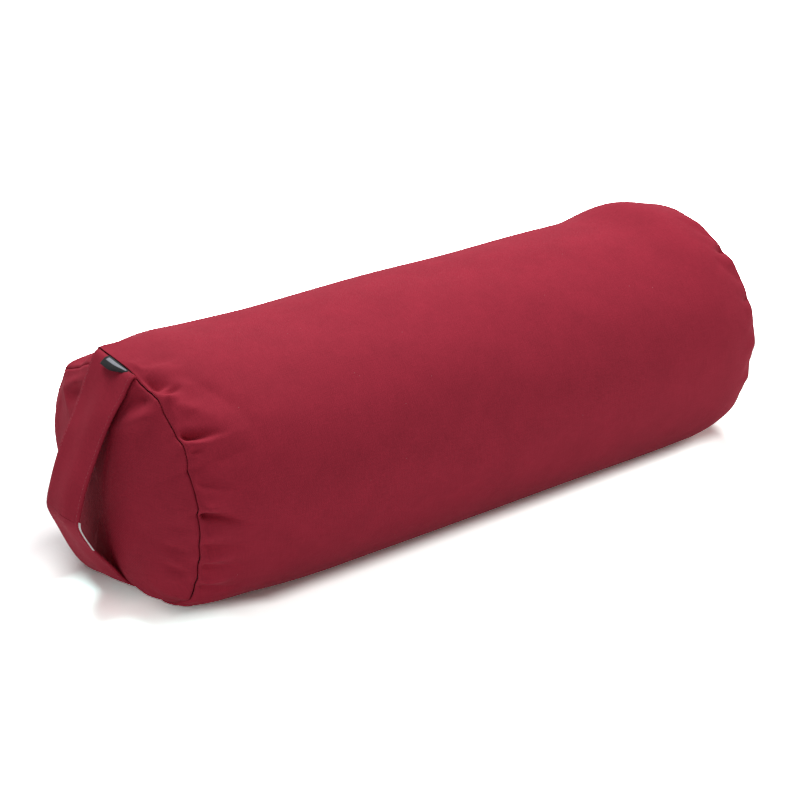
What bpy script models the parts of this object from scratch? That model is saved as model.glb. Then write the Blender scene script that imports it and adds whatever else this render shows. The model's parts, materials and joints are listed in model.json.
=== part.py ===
"""Round yoga bolster: a zipped cotton cover with a carrying strap, over a zipped liner full of husks.

Lengths are in metres. +X runs along the bolster, away from the strap, +Z is up, and the origin is
the middle of the flat patch that the bolster rests on. The cover's zip is at the back, at +Y.

Every sheet of cloth is a sweep: a section outline in the YZ plane, drawn in by the depths of a
profile that runs along X. The layers inside one another are offsets of the same two curves.
"""

import math

import bpy
import bmesh
from mathutils import Matrix, Vector

MM = 0.001

# Stuffed cover, as it lies on the floor
LENGTH = 650 * MM  # between the crowns of the two end panels
WIDTH = 250 * MM
HEIGHT = 213 * MM
WIDEST_AT = 118 * MM  # height of the widest line
FOOT_WIDTH = 80 * MM  # flat patch on the floor
END_CROWN = 21 * MM  # how far an end panel bulges past its seam
CROWN_DROP = 24 * MM  # the husks sink, so a panel bulges most this far below its middle
SEAM_DEPTH = 15.5 * MM  # how far a seam ring lies inside the full section, at the sides
SEAM_DEPTH_TOP = 4.5 * MM  # a ring stays rounder than the middle, which its load flattens
SEAM_DEPTH_BOTTOM = 24 * MM
FRONT_SHOULDER = 155 * MM  # the strap end is slack and tapers slowly
REAR_SHOULDER = 61 * MM
GATHER = 1.2 * MM  # half the depth of the gathers beside a seam

# Cloth and seams
COVER_CLOTH = 1.0 * MM
LINER_CLOTH = 0.8 * MM
GAP = 0.3 * MM  # between pieces that touch on the real bolster
LAYER_GAP = 0.5 * MM  # between the cover, the liner and the filling, and round a slider
COVER_ALLOWANCE = 10 * MM  # cloth turned in along a seam
LINER_ALLOWANCE = 6 * MM
CORNER_ROOM = 0.7 * MM  # from the tip of an allowance to what lies inside it

# Carrying strap across the front end panel
STRAP_WIDTH = 50 * MM
STRAP_THICKNESS = 2.0 * MM
STRAP_OFFSET = 5 * MM  # the strap is sewn on a little off the middle
STRAP_REACH = 57 * MM  # how far it bows out from the seam ring
STRAP_BELLY = 93 * MM  # height at which it bows out most
STRAP_UPPER_BOW = (0.6, 0.42, 0.14)  # handles of its curve: shares of the reach, and of the height
STRAP_LOWER_BOW = (0.6, 0.02, 0.22)  # at the seam and at the belly
STRAP_SEWN_IN = 9 * MM
GRIP_RISE = 63 * MM  # the strap swings between this far above its belly
GRIP_DROP = 47 * MM  # and this far below it
LEAST_RUN = 1.5 * MM  # a point of the strap isn't closer than this to a cut
POCKET_MARGIN = 2 * MM  # the seam opens this much wider than the strap

# Labels
SIDE_LABEL_WIDTH = 31 * MM
SIDE_LABEL_THICKNESS = 1.0 * MM
SIDE_LABEL_DROP = 7 * MM
SIDE_LABEL_OFFSET = 8 * MM
SIDE_LABEL_SEWN_IN = 8 * MM
CARE_LABEL_THICKNESS = 0.5 * MM
CARE_LABEL_WIDTH = 26 * MM
CARE_LABEL_PROUD = 3 * MM  # how far it sticks out past the strap's front edge
CARE_LABEL_TOP = 95 * MM
CARE_LABEL_BOTTOM = 66 * MM

# Zips: the cover's and the liner's are of one kind
ZIP_BED = 36 * MM  # flat strip of cloth that holds a zip
ZIP_SINK = 3 * MM  # the cover's zip bed lies this far inside the full section
ZIP_END_ROOM = 2 * MM  # from a tape's end to the end of the straight zip bed
LINER_ZIP_SHORTER = 140 * MM  # the liner's chain is this much shorter than the cover's
ZIP_ANGLE = 25  # degrees above the widest line, at the back
LINER_ZIP_ANGLE = 31  # degrees below the widest line, at the front
SLOT_WIDTH = 10.4 * MM  # between the two folded edges of cloth
SLOT_OVERRUN = 14 * MM  # the slot runs this far past each end of the chain
TAPE_WIDTH = 13 * MM
TAPE_THICKNESS = 0.5 * MM
TAPE_OVERRUN = 20 * MM
CHAIN_HALF_WIDTH = 2.9 * MM
CHAIN_THICKNESS = 2.4 * MM
SPINE_WIDTH = 1.7 * MM
TOOTH_PITCH = 5 * MM
LINER_TOOTH_PITCH = 10 * MM
TOOTH_CLEARANCE = 0.3 * MM
HEAD_TAPER = 0.25 * MM
STOP_LENGTH = 3.2 * MM

# Slider and pull
PLATE_THICKNESS = 1.3 * MM
PLATE_CLEARANCE = 0.3 * MM
SLIDER_HALF_LENGTH = 6.4 * MM
SLIDER_HALF_WIDTH = 4.7 * MM
SLIDER_SHAPE = ((-1.0, 0.45), (-0.82, 0.92), (-0.3, 1.0), (0.6, 0.9), (1.0, 0.8))  # shares of the two
FLANGE_SHAPE = ((-0.3, 1.0), (0.6, 0.9), (0.9, 0.82))
FLANGE_THICKNESS = 0.8 * MM
FLANGE_CLEARANCE = 0.35 * MM  # each side of the tape
WEDGE_HALF_WIDTH = 1.3 * MM
WEDGE_FRONT = 6.0 * MM  # from the slider's middle to the wedge's front tip
WEDGE_WIDEST = 4.6 * MM
WEDGE_BACK = 1.8 * MM
BRIDGE_HALF_LENGTH = 3.9 * MM
BRIDGE_STRIP = 0.9 * MM
BRIDGE_HALF_WIDTH = 1.0 * MM
PULL_BAR_RADIUS = 0.6 * MM
PULL_CLEARANCE = 0.4 * MM
PULL_LENGTH = 30 * MM
PULL_EYE_HALF_WIDTH = 2.9 * MM
PULL_WINDOW_ROOM = 0.8 * MM  # from the bridge's foot to the end of the pull's window
PULL_NECK = 2.0 * MM  # from the window to where the pull is narrowest
PULL_NECK_HALF_WIDTH = 2.3 * MM
PULL_FLARE = 4.0 * MM
PULL_GRIP_HALF_WIDTH = 3.7 * MM
PULL_HOLE_RADIUS = 1.7 * MM
PULL_HOLE_INSET = 4.6 * MM  # from the pull's tip to the middle of its hole

# How finely the curves are faceted
ZIP_SIDE_STEPS = (2, 4)  # on a quarter that holds a zip: from the widest line, and on past it
STRAP_TOP_STEPS = 3
FRONT_UPPER_STEPS = 7
BACK_LOWER_STEPS = 6
FRONT_STEPS = (4, 2)  # along a shoulder: to the end of the zip bed, and on to the straight middle
REAR_STEPS = (3, 2)
LEAST_STEP = 2.5 * MM  # two rings of a tube aren't closer than this
PANEL_RINGS = (0.36, 0.62, 0.85)
STRAP_STEPS = 9
BRIDGE_STEPS = 8
PULL_TIP_STEPS = 8
PULL_HOLE_STEPS = 12
SHARP_ANGLE = 35  # degrees between two faces, past which their edge is drawn sharp
WELD = 1e-4 * MM

# Places worked out from the sizes above
SEAM_X = LENGTH / 2 - END_CROWN
CHAIN_DEPTH = GAP + TAPE_THICKNESS / 2  # from the underside of the cloth to the chain's middle
SLIDER_HALF_HEIGHT = CHAIN_THICKNESS / 2 + PLATE_CLEARANCE + PLATE_THICKNESS
TAPE_EDGE = CHAIN_HALF_WIDTH + GAP
DIAGONAL = math.sqrt(0.5)
GRIP_TOP = STRAP_BELLY + GRIP_RISE
GRIP_BOTTOM = STRAP_BELLY - GRIP_DROP
SWING_AXIS = Vector((-SEAM_X, STRAP_OFFSET, STRAP_BELLY))  # the strap swings about a line up through it


# The scene

def clear_scene():
    for obj in list(bpy.data.objects):
        bpy.data.objects.remove(obj)


def make_material(name, colour, roughness, metallic=0.0):
    material = bpy.data.materials.new(name)
    material.use_nodes = True
    shader = material.node_tree.nodes["Principled BSDF"]
    shader.inputs["Base Color"].default_value = (*colour, 1.0)
    shader.inputs["Roughness"].default_value = roughness
    shader.inputs["Metallic"].default_value = metallic
    material.diffuse_color = (*colour, 1.0)
    return material


def add_object(name, bm, material):
    """Turns a bmesh into a named object, smooth but for its sharp edges."""
    bmesh.ops.remove_doubles(bm, verts=bm.verts, dist=WELD)
    bmesh.ops.recalc_face_normals(bm, faces=bm.faces)
    mesh = bpy.data.meshes.new(name)
    bm.to_mesh(mesh)
    bm.free()
    mesh.materials.append(material)
    mesh.shade_smooth()
    mesh.set_sharp_from_angle(angle=math.radians(SHARP_ANGLE))
    obj = bpy.data.objects.new(name, mesh)
    bpy.context.collection.objects.link(obj)
    return obj


def put_origin(obj, place):
    """Moves an object's origin and leaves its surface where it is."""
    obj.data.transform(Matrix.Translation(-place))
    obj.location = place


def hide_tool(obj):
    obj.hide_render = True
    obj.display_type = "WIRE"


def combine(obj, tool, operation):
    """Cuts the tool out of the object, or joins the two, and keeps the tool as a hidden helper."""
    modifier = obj.modifiers.new(operation.title() + "_" + tool.name, "BOOLEAN")
    modifier.operation = operation
    modifier.solver = "EXACT"
    modifier.object = tool
    hide_tool(tool)


# Section outlines

def evenly(start, stop, steps):
    """The points from start up to, and without, stop."""
    return [start + (stop - start) * i / steps for i in range(steps)]


def angle_for(length, half_y, half_z, angle):
    """The angle that takes up this length of an ellipse, near the given angle."""
    return length / math.hypot(half_y * math.sin(angle), half_z * math.cos(angle))


def zip_side(zip_angle, half_y, half_z, stop):
    """Angles from the widest line up to stop, with the two that bound the zip's bed.

    The second result is the bed's far edge, where the seam's extra depth starts.
    """
    before, past = ZIP_SIDE_STEPS
    middle = math.radians(zip_angle)
    bed = angle_for(ZIP_BED, half_y, half_z, middle)
    far = middle + bed / 2
    return evenly(0, middle - bed / 2, before) + [middle - bed / 2] + evenly(far, stop, past), far


def past_bed(angle, far):
    """Share of the seam's extra depth: 0 up to the bed's far edge, 1 at the top or the bottom."""
    return math.sin(math.pi / 2 * max(0.0, (angle - far) / (math.pi / 2 - far))) ** 2


def section_outline():
    """The full section as a ring of (y, z) points from the back's widest point over the top.

    Also the columns of the ring that bound the two zip beds and the strap's two pockets, and how
    much deeper than SEAM_DEPTH the seam lies at each column.
    """
    half = WIDTH / 2
    above = HEIGHT - WIDEST_AT
    foot = FOOT_WIDTH / 2
    side = half - foot
    pocket = STRAP_WIDTH / 2 + POCKET_MARGIN
    top = SEAM_DEPTH_TOP - SEAM_DEPTH
    bottom = SEAM_DEPTH_BOTTOM - SEAM_DEPTH

    back_edge = math.acos((STRAP_OFFSET + pocket) / half)
    front_edge = math.acos((STRAP_OFFSET - pocket) / half)
    angles, far = zip_side(ZIP_ANGLE, half, above, back_edge)
    cover_zip = (ZIP_SIDE_STEPS[0], ZIP_SIDE_STEPS[0] + 1)
    extra = [top * past_bed(a, far) for a in angles]
    strap_top = (len(angles), len(angles) + STRAP_TOP_STEPS)
    rest = evenly(back_edge, front_edge, STRAP_TOP_STEPS)
    rest += evenly(front_edge, math.pi, FRONT_UPPER_STEPS)
    extra += [top * math.sin(a) ** 2 for a in rest]
    ring = [(half * math.cos(a), WIDEST_AT + above * math.sin(a)) for a in angles + rest]

    angles, far = zip_side(LINER_ZIP_ANGLE, side, WIDEST_AT, math.pi / 2)
    liner_zip = (len(ring) + ZIP_SIDE_STEPS[0], len(ring) + ZIP_SIDE_STEPS[0] + 1)
    ring += [(-foot - side * math.cos(a), WIDEST_AT * (1 - math.sin(a))) for a in angles]
    extra += [bottom * past_bed(a, far) for a in angles]

    ring.append((-foot, 0.0))
    strap_bottom = (len(ring), len(ring) + 2)
    ring += [(STRAP_OFFSET + k * pocket, 0.0) for k in (-1, 0, 1)] + [(foot, 0.0)]
    extra += [bottom] * 5

    angles = evenly(math.pi / 2, 0, BACK_LOWER_STEPS)[1:]
    ring += [(foot + side * math.cos(a), WIDEST_AT * (1 - math.sin(a))) for a in angles]
    extra += [bottom * past_bed(a, far) for a in angles]

    zones = {
        "cover_zip": cover_zip,
        "liner_zip": liner_zip,
        "strap_top": strap_top,
        "strap_bottom": strap_bottom,
    }
    return ring, zones, extra


RING, ZONES, SEAM_EXTRA = section_outline()


def zone_columns(zone):
    first, last = ZONES[zone]
    return range(first, last + 1)


def seam_share(x):
    """1 at a seam and beyond it, 0 in the straight middle, and a parabola over each shoulder."""
    length = FRONT_SHOULDER if x < 0 else REAR_SHOULDER
    return min(1.0, max(0.0, 1 - (SEAM_X - abs(x)) / length)) ** 2


def draw_in(depths, xs):
    """The section's ring with each point moved inwards, square to its edges, by its own depth.

    xs gives each point's place along the bolster, where a seam's extra depth fades out.
    """
    moved = []
    for j, (y, z) in enumerate(RING):
        normals = []
        for (ya, za), (yb, zb) in ((RING[j - 1], RING[j]), (RING[j], RING[(j + 1) % len(RING)])):
            edge = math.hypot(yb - ya, zb - za)
            normals.append(((za - zb) / edge, (yb - ya) / edge))
        (ny, nz), (my, mz) = normals
        share = (depths[j] + SEAM_EXTRA[j] * seam_share(xs[j])) / (1 + ny * my + nz * mz)
        moved.append((y + (ny + my) * share, z + (nz + mz) * share))
    return moved


def draw_in_evenly(depth, x):
    return draw_in([depth] * len(RING), [x] * len(RING))


def seam_row(row, facing):
    """Flattens the top of a front seam where the strap is sewn in, for a strap is straight across."""
    if facing > 0:
        return row
    columns = zone_columns("strap_top")
    height = (row[columns[0]][1] + row[columns[-1]][1]) / 2
    return [(y, height) if j in columns else (y, z) for j, (y, z) in enumerate(row)]


# Profiles

def inner_side(profile, thickness):
    """A profile of (x, depth) points, offset to its left by the thickness, with mitred corners."""
    moved = []
    for i, point in enumerate(profile):
        before = profile[i - 1] if i else None
        after = profile[i + 1] if i + 1 < len(profile) else None
        normals = []
        for a, b in ((before, point), (point, after)):
            if a and b:
                run = math.hypot(b[0] - a[0], b[1] - a[1])
                normals.append(((a[1] - b[1]) / run, (b[0] - a[0]) / run))
        n, m = normals[0], normals[-1]
        share = thickness / (1 + n[0] * m[0] + n[1] * m[1])
        moved.append((point[0] + (n[0] + m[0]) * share, point[1] + (n[1] + m[1]) * share))
    return moved


class Layer:
    """One of the nested bags: where its seams, its shoulders and its straight middle lie."""

    def __init__(self, inset, depth, cloth=0.0, allowance=0.0, zip_bed=None, outer=None):
        """inset is how far its seams lie inside the cover's, along the diagonal of the corner.

        zip_bed is the zone and the depth of its own zip's bed. beds gives, for each zip's zone,
        how deep the layer lies there at least, as a function of x.
        """
        self.seam_x = SEAM_X - inset * DIAGONAL
        self.seam_depth = SEAM_DEPTH + inset * DIAGONAL
        self.depth = depth
        self.crown = LENGTH / 2 - depth - self.seam_x
        self.front = FRONT_SHOULDER - inset * DIAGONAL
        self.rear = REAR_SHOULDER - inset * DIAGONAL
        self.cloth = cloth
        self.allowance = allowance
        self.beds = {}
        if zip_bed:
            self.bed_zone, self.bed_depth = zip_bed
            self.bed_angle = math.asin((self.seam_depth - self.bed_depth) / (self.seam_depth - depth))
            self.beds[self.bed_zone] = lambda x: self.bed_depth
        self.stations = self.stations_inside(outer) if outer else self.own_stations()

    def own_stations(self):
        """Rings at even angles along the quarter ellipse of each shoulder."""
        places = []
        for length, steps in ((self.front, FRONT_STEPS), (self.rear, REAR_STEPS)):
            angles = evenly(0, self.bed_angle, steps[0]) + evenly(self.bed_angle, math.pi / 2, steps[1])
            places.append([self.seam_x - length * (1 - math.cos(a)) for a in angles + [math.pi / 2]])
        front, rear = places
        return [-x for x in front] + rear[::-1]

    def stations_inside(self, outer):
        """Rings where the layer outside has its own, and at this layer's seams and bed ends."""
        own = [-self.seam_x, self.seam_x] + (self.bed_ends() if self.beds else [])
        kept = [x for x in outer.stations if abs(x) < self.seam_x]
        kept = [x for x in kept if min(abs(x - place) for place in own) > LEAST_STEP]
        return sorted(kept + own)

    def depth_at(self, x):
        """Quarter ellipse from each seam, where the cloth turns straight in, to the middle."""
        length = self.front if x < 0 else self.rear
        left = max(0.0, 1 - (self.seam_x - abs(x)) / length)
        return self.seam_depth - (self.seam_depth - self.depth) * math.sqrt(max(0.0, 1 - left**2))

    def profile(self):
        """The outer face from the front seam to the rear one, as (x, depth) points."""
        return [(x, self.depth_at(x)) for x in self.stations]

    def profile_with_allowances(self):
        tip = self.allowance * DIAGONAL
        front = (-self.seam_x + tip, self.seam_depth + tip)
        rear = (self.seam_x - tip, self.seam_depth + tip)
        return [front] + self.profile() + [rear]

    def bed_ends(self):
        """Where along X the straight bed of this layer's own zip starts and stops."""
        share = 1 - math.cos(self.bed_angle)
        return [-self.seam_x + self.front * share, self.seam_x - self.rear * share]

    def sinks(self, x, depth):
        """How much deeper than its profile the layer lies at each zip bed."""
        return {zone: max(0.0, least(x) - depth) for zone, least in self.beds.items()}

    def follow(self, outer, zone, clearance):
        """Keeps this clearance below the bed of the layer outside it."""
        line = [(x, depth + outer.sinks(x, depth)[zone]) for x, depth in outer.profile()]

        def least(x):
            for (xa, a), (xb, b) in zip(line, line[1:]):
                if x <= xb:
                    break
            return a + (b - a) * (x - xa) / (xb - xa) + clearance

        self.beds[zone] = least

    def panel_ring(self, facing):
        """The seam's outline at one end, where its panel bulges most, and the panel's radius."""
        ring = seam_row(draw_in_evenly(self.seam_depth, facing * self.seam_x), facing)
        low = min(z for _, z in ring)
        high = max(z for _, z in ring)
        return ring, (0.0, (low + high) / 2 - CROWN_DROP), (high - low) / 2

    def crown_rows(self, facing, sink):
        """Rings of (x, ring) from near a panel's middle out to its edge, without the seam."""
        ring, (cy, cz), _ = self.panel_ring(facing)
        rows = []
        for share in PANEL_RINGS:
            x = facing * (self.seam_x + self.crown * (1 - share**2) - sink)
            rows.append((x, [(cy + share * (y - cy), cz + share * (z - cz)) for y, z in ring]))
        return rows

    def pole(self, facing, sink):
        _, centre, _ = self.panel_ring(facing)
        return (facing * (self.seam_x + self.crown - sink), *centre)


def gathered(depths, amount):
    """Alternate columns stand out and in, as cloth does beside a seam that gathers it."""
    return [d + amount * (1 if j % 2 else -1) for j, d in enumerate(depths)]


# Sheets of cloth

def add_row(bm, x, ring):
    """One ring of vertices. x is one number for the whole ring, or a list of them."""
    xs = x if isinstance(x, list) else [x] * len(ring)
    return [bm.verts.new((x, y, z)) for x, (y, z) in zip(xs, ring)]


def join_rows(bm, first, second):
    count = len(first)
    for j in range(count):
        k = (j + 1) % count
        bm.faces.new((first[j], first[k], second[k], second[j]))


def join_all(bm, rows):
    for first, second in zip(rows, rows[1:]):
        join_rows(bm, first, second)


def close_on_pole(bm, row, pole):
    count = len(row)
    for j in range(count):
        bm.faces.new((row[j], row[(j + 1) % count], pole))


def row_depths(depth, sinks):
    """Depths of one row, with its zip beds sunk."""
    depths = [depth] * len(RING)
    for zone, sink in sinks.items():
        for j in zone_columns(zone):
            depths[j] += sink
    return depths


def tube_of_cloth(name, layer, material):
    """A layer's tube with both edges turned in."""
    profile = layer.profile_with_allowances()
    last = len(profile) - 1
    bm = bmesh.new()
    sheets = []
    for side in (profile, inner_side(profile, layer.cloth)):
        rows = []
        for i, (x, depth) in enumerate(side):
            depths = row_depths(depth, layer.sinks(*profile[i]))
            if i in (2, last - 2):
                depths = gathered(depths, GATHER)
            row = draw_in(depths, [x] * len(RING))
            rows.append(add_row(bm, x, seam_row(row, -1) if i in (0, 1) else row))
        join_all(bm, rows)
        sheets.append(rows)
    join_rows(bm, sheets[0][0], sheets[1][0])
    join_rows(bm, sheets[0][-1], sheets[1][-1])
    return add_object(name, bm, material)


def end_panel(name, layer, facing, pockets, material):
    """A crowned round panel whose edge is turned in along the tube's own allowance.

    facing is -1 at the front and 1 at the rear. pockets gives the extra room that the seam leaves
    at each strap zone.
    """
    _, _, radius = layer.panel_ring(facing)
    tip = layer.allowance * DIAGONAL
    share = PANEL_RINGS[-1]
    crown = (-layer.seam_x - layer.crown * (1 - share**2), layer.seam_depth + (1 - share) * radius)
    room = [GAP] * len(RING)
    for zone, extra in pockets.items():
        for j in zone_columns(zone):
            room[j] += extra

    bm = bmesh.new()
    sheets = []
    for sink in (0.0, layer.cloth):
        rows = [add_row(bm, x, ring) for x, ring in layer.crown_rows(facing, sink)]
        seam, edge = [], []
        for shift in (r * DIAGONAL for r in room):
            corner = (-layer.seam_x - shift, layer.seam_depth + shift)
            profile = [crown, corner, (corner[0] + tip, corner[1] + tip)]
            if sink:
                profile = inner_side(profile, sink)
            seam.append(profile[1])
            edge.append(profile[2])
        for points in (seam, edge):
            xs = [-facing * x for x, _ in points]
            ring = draw_in([depth for _, depth in points], xs)
            rows.append(add_row(bm, xs, seam_row(ring, facing)))
        close_on_pole(bm, rows[0], bm.verts.new(layer.pole(facing, sink)))
        join_all(bm, rows)
        sheets.append(rows)
    join_rows(bm, sheets[0][-1], sheets[1][-1])
    return add_object(name, bm, material)


def make_filling(name, layer, material):
    """One solid mass with crowned ends that fills the liner."""
    bm = bmesh.new()
    rows = [add_row(bm, x, ring) for x, ring in layer.crown_rows(-1, 0.0)]
    for i, (x, depth) in enumerate(layer.profile()):
        row = draw_in(row_depths(depth, layer.sinks(x, depth)), [x] * len(RING))
        rows.append(add_row(bm, x, row if i else seam_row(row, -1)))
    rows += [add_row(bm, x, ring) for x, ring in reversed(layer.crown_rows(1, 0.0))]
    join_all(bm, rows)
    close_on_pole(bm, rows[0], bm.verts.new(layer.pole(-1, 0.0)))
    close_on_pole(bm, rows[-1], bm.verts.new(layer.pole(1, 0.0)))
    return add_object(name, bm, material)


def seam_corner(zone, depth_in, across):
    """A point (x, z) beside the front seam: depth_in along its allowance, across from the tube."""
    f = depth_in * DIAGONAL
    n = across * DIAGONAL
    x = -SEAM_X + f - n
    row = seam_row(draw_in_evenly(SEAM_DEPTH + f + n, x), -1)
    return Vector((x, row[zone_columns(zone)[0]][1]))


# Ribbons: strap and labels

def ribbon(name, path, thickness, ys, material, level_start=False, level_end=False, aside=0.0):
    """A band of cloth along a path of (x, z) points, or aside to its left.

    ys are its two edges. A level end is cut along the horizontal.
    """
    low_y, high_y = ys
    left, right = [], []
    for i, point in enumerate(path):
        runs = []
        if i:
            runs.append((point - path[i - 1]).normalized())
        if i + 1 < len(path):
            runs.append((path[i + 1] - point).normalized())
        n, m = (Vector((-r.y, r.x)) for r in (runs[0], runs[-1]))
        mitre = (n + m) / (1 + n.dot(m))
        a, b = (point + mitre * (aside + half) for half in (thickness / 2, -thickness / 2))
        if (level_start and i == 0) or (level_end and i + 1 == len(path)):
            run = runs[0]
            a, b = (p + run * ((point.y - p.y) / run.y) for p in (a, b))
        left.append(a)
        right.append(b)
    bm = bmesh.new()
    rings = []
    for a, b in zip(left, right):
        corners = ((a, low_y), (b, low_y), (b, high_y), (a, high_y))
        rings.append([bm.verts.new((p.x, y, p.y)) for p, y in corners])
    join_all(bm, rings)
    bm.faces.new(rings[0])
    bm.faces.new(rings[-1])
    return add_object(name, bm, material)


def bezier(a, b, c, d):
    points = []
    for i in range(STRAP_STEPS + 1):
        t = i / STRAP_STEPS
        s = 1 - t
        points.append(a * s**3 + b * (3 * s * s * t) + c * (3 * s * t * t) + d * t**3)
    return points


def half_bow(seam, belly, shares):
    """One half of the strap's bow, from its seam to where it stands out most."""
    out, up_at_seam, up_at_belly = shares
    reach = belly - seam
    handle = Vector((out * reach.x, up_at_seam * reach.y))
    return bezier(seam, seam + handle, belly - Vector((0, up_at_belly * reach.y)), belly)


def strap_path():
    """The strap's middle line from the upper seam, out and down, and back into the lower seam."""
    label = SIDE_LABEL_THICKNESS + GAP
    across = GAP + label + STRAP_THICKNESS / 2
    fold = -(STRAP_THICKNESS / 2 + GAP)
    top = [seam_corner("strap_top", STRAP_SEWN_IN, across), seam_corner("strap_top", fold, across)]
    across = GAP + STRAP_THICKNESS / 2
    bottom = [seam_corner("strap_bottom", d, across) for d in (fold, STRAP_SEWN_IN)]
    belly = Vector((-SEAM_X - STRAP_REACH, STRAP_BELLY))
    upper = half_bow(top[1], belly, STRAP_UPPER_BOW)
    lower = half_bow(bottom[0], belly, STRAP_LOWER_BOW)[::-1]
    return [top[0]] + upper + lower[1:] + [bottom[1]]


def point_at(path, height):
    """Where a falling path comes down to a height."""
    for a, b in zip(path, path[1:]):
        if a.y > height >= b.y:
            return a.lerp(b, (a.y - height) / (a.y - b.y))


def cut_path(path, high, low):
    """The stretch of a falling path between two heights."""
    between = [p for p in path if high - LEAST_RUN > p.y > low + LEAST_RUN]
    return [point_at(path, high)] + between + [point_at(path, low)]


def make_strap(cloth):
    path = strap_path()
    ys = (STRAP_OFFSET - STRAP_WIDTH / 2, STRAP_OFFSET + STRAP_WIDTH / 2)
    falling = path[1:-1]
    top = path[:2] + [p for p in falling[1:] if p.y > GRIP_TOP + LEAST_RUN]
    top.append(point_at(falling, GRIP_TOP))
    ribbon("handle_strap_upper_end", top, STRAP_THICKNESS, ys, cloth, level_end=True)
    grip = cut_path(falling, GRIP_TOP - GAP, GRIP_BOTTOM)
    grip = ribbon("handle_strap_grip", grip, STRAP_THICKNESS, ys, cloth, level_start=True, level_end=True)
    put_origin(grip, SWING_AXIS)
    bottom = [point_at(falling, GRIP_BOTTOM - GAP)]
    bottom += [p for p in falling if p.y < GRIP_BOTTOM - GAP - LEAST_RUN] + [path[-1]]
    ribbon("handle_strap_lower_end", bottom, STRAP_THICKNESS, ys, cloth, level_start=True)


def make_side_label(material):
    """A folded woven label, sewn into the upper seam over the strap and hanging down on it."""
    inside, corner, *falling = strap_path()
    path = [corner + (inside - corner).normalized() * SIDE_LABEL_SEWN_IN, corner]
    left = SIDE_LABEL_DROP
    while left > 0:
        step = falling[0] - path[-1]
        path.append(path[-1] + step * min(1.0, left / step.length))
        left -= step.length
        falling = falling[1:]
    aside = -(STRAP_THICKNESS / 2 + GAP + SIDE_LABEL_THICKNESS / 2)
    ys = (SIDE_LABEL_OFFSET - SIDE_LABEL_WIDTH / 2, SIDE_LABEL_OFFSET + SIDE_LABEL_WIDTH / 2)
    ribbon("side_label", path, SIDE_LABEL_THICKNESS, ys, material, aside=aside)


def make_care_label(material):
    """A thin label behind the strap, whose front edge shows past the strap's."""
    path = cut_path(strap_path()[1:-1], CARE_LABEL_TOP, CARE_LABEL_BOTTOM)
    aside = STRAP_THICKNESS / 2 + GAP + CARE_LABEL_THICKNESS / 2
    low_y = STRAP_OFFSET - STRAP_WIDTH / 2 - CARE_LABEL_PROUD
    ys = (low_y, low_y + CARE_LABEL_WIDTH)
    label = ribbon("care_label", path, CARE_LABEL_THICKNESS, ys, material, aside=aside)
    put_origin(label, SWING_AXIS)


# Zips

def zip_frame(layer):
    """Axes of a zip: X along it, Y down across it, Z out of the bolster, origin on the chain.

    A zip at the back closes towards the strap, and one at the front closes away from it.
    """
    ring = draw_in_evenly(layer.bed_depth, 0.0)
    a, b = (Vector((0, *ring[j])) for j in ZONES[layer.bed_zone])
    upper, lower = (a, b) if a.z > b.z else (b, a)
    across = (lower - upper).normalized()
    along = Vector((1, 0, 0)) if upper.y > 0 else Vector((-1, 0, 0))
    out = along.cross(across)
    middle = Vector((sum(layer.bed_ends()) / 2, 0, 0))
    origin = (upper + lower) / 2 - out * (layer.cloth + CHAIN_DEPTH) + middle
    frame = Matrix((along, across, out)).transposed().to_4x4()
    frame.translation = origin
    return frame


def box_mesh(bm, low, high):
    made = bmesh.ops.create_cube(bm, size=1.0)["verts"]
    size = [b - a for a, b in zip(low, high)]
    middle = [(a + b) / 2 for a, b in zip(low, high)]
    bmesh.ops.scale(bm, vec=size, verts=made)
    bmesh.ops.translate(bm, vec=middle, verts=made)


def zip_box(name, frame, low, high, material):
    bm = bmesh.new()
    box_mesh(bm, low, high)
    obj = add_object(name, bm, material)
    obj.matrix_world = frame
    return obj


def prism(outline, low, high):
    """A flat outline of (x, y) points, extruded from one height to another."""
    bm = bmesh.new()
    bottom = [bm.verts.new((x, y, low)) for x, y in outline]
    top = [bm.verts.new((x, y, high)) for x, y in outline]
    bm.faces.new(list(reversed(bottom)))
    bm.faces.new(top)
    join_rows(bm, bottom, top)
    return bm


def add_prism(name, frame, outline, low, high, material):
    obj = add_object(name, prism(outline, low, high), material)
    obj.matrix_world = frame
    return obj


def tooth_row(name, frame, length, pitch, side, material):
    """One comb of teeth. side is -1 for the upper tape and 1 for the lower, half a pitch along."""
    teeth = int(length / pitch)
    start = -length / 2 + (pitch / 2 if side > 0 else 0.0)
    root = CHAIN_HALF_WIDTH - SPINE_WIDTH
    head = root - TOOTH_CLEARANCE
    half_tooth = pitch / 4 - TOOTH_CLEARANCE / 2
    rows = []
    for i in range(teeth if side < 0 else teeth - 1):
        middle = start + (i + 0.5) * pitch
        for offset, reach in ((-half_tooth, head), (half_tooth, head)):
            taper = HEAD_TAPER if offset < 0 else -HEAD_TAPER
            pair = ((middle + offset, -root), (middle + offset + taper, reach))
            rows.append(pair if offset < 0 else pair[::-1])
    front = [point for pair in rows for point in pair]
    back = [(front[-1][0], -CHAIN_HALF_WIDTH), (front[0][0], -CHAIN_HALF_WIDTH)]
    outline = [(x, -side * y) for x, y in front + back]
    return add_prism(name, frame, outline, -CHAIN_THICKNESS / 2, CHAIN_THICKNESS / 2, material)


def slider_edge(shape, side):
    """The slider's edge on one side as (x, y) points, from its nose to its tail."""
    return [(a * SLIDER_HALF_LENGTH, side * b * SLIDER_HALF_WIDTH) for a, b in shape]


def slider_outline():
    return slider_edge(SLIDER_SHAPE, 1) + slider_edge(SLIDER_SHAPE, -1)[::-1]


def flange_outline(side):
    """A strip along the slider's edge, which holds the tape in."""
    outer = slider_edge(FLANGE_SHAPE, side)
    return [(x, y - side * FLANGE_THICKNESS) for x, y in outer] + outer[::-1]


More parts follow.
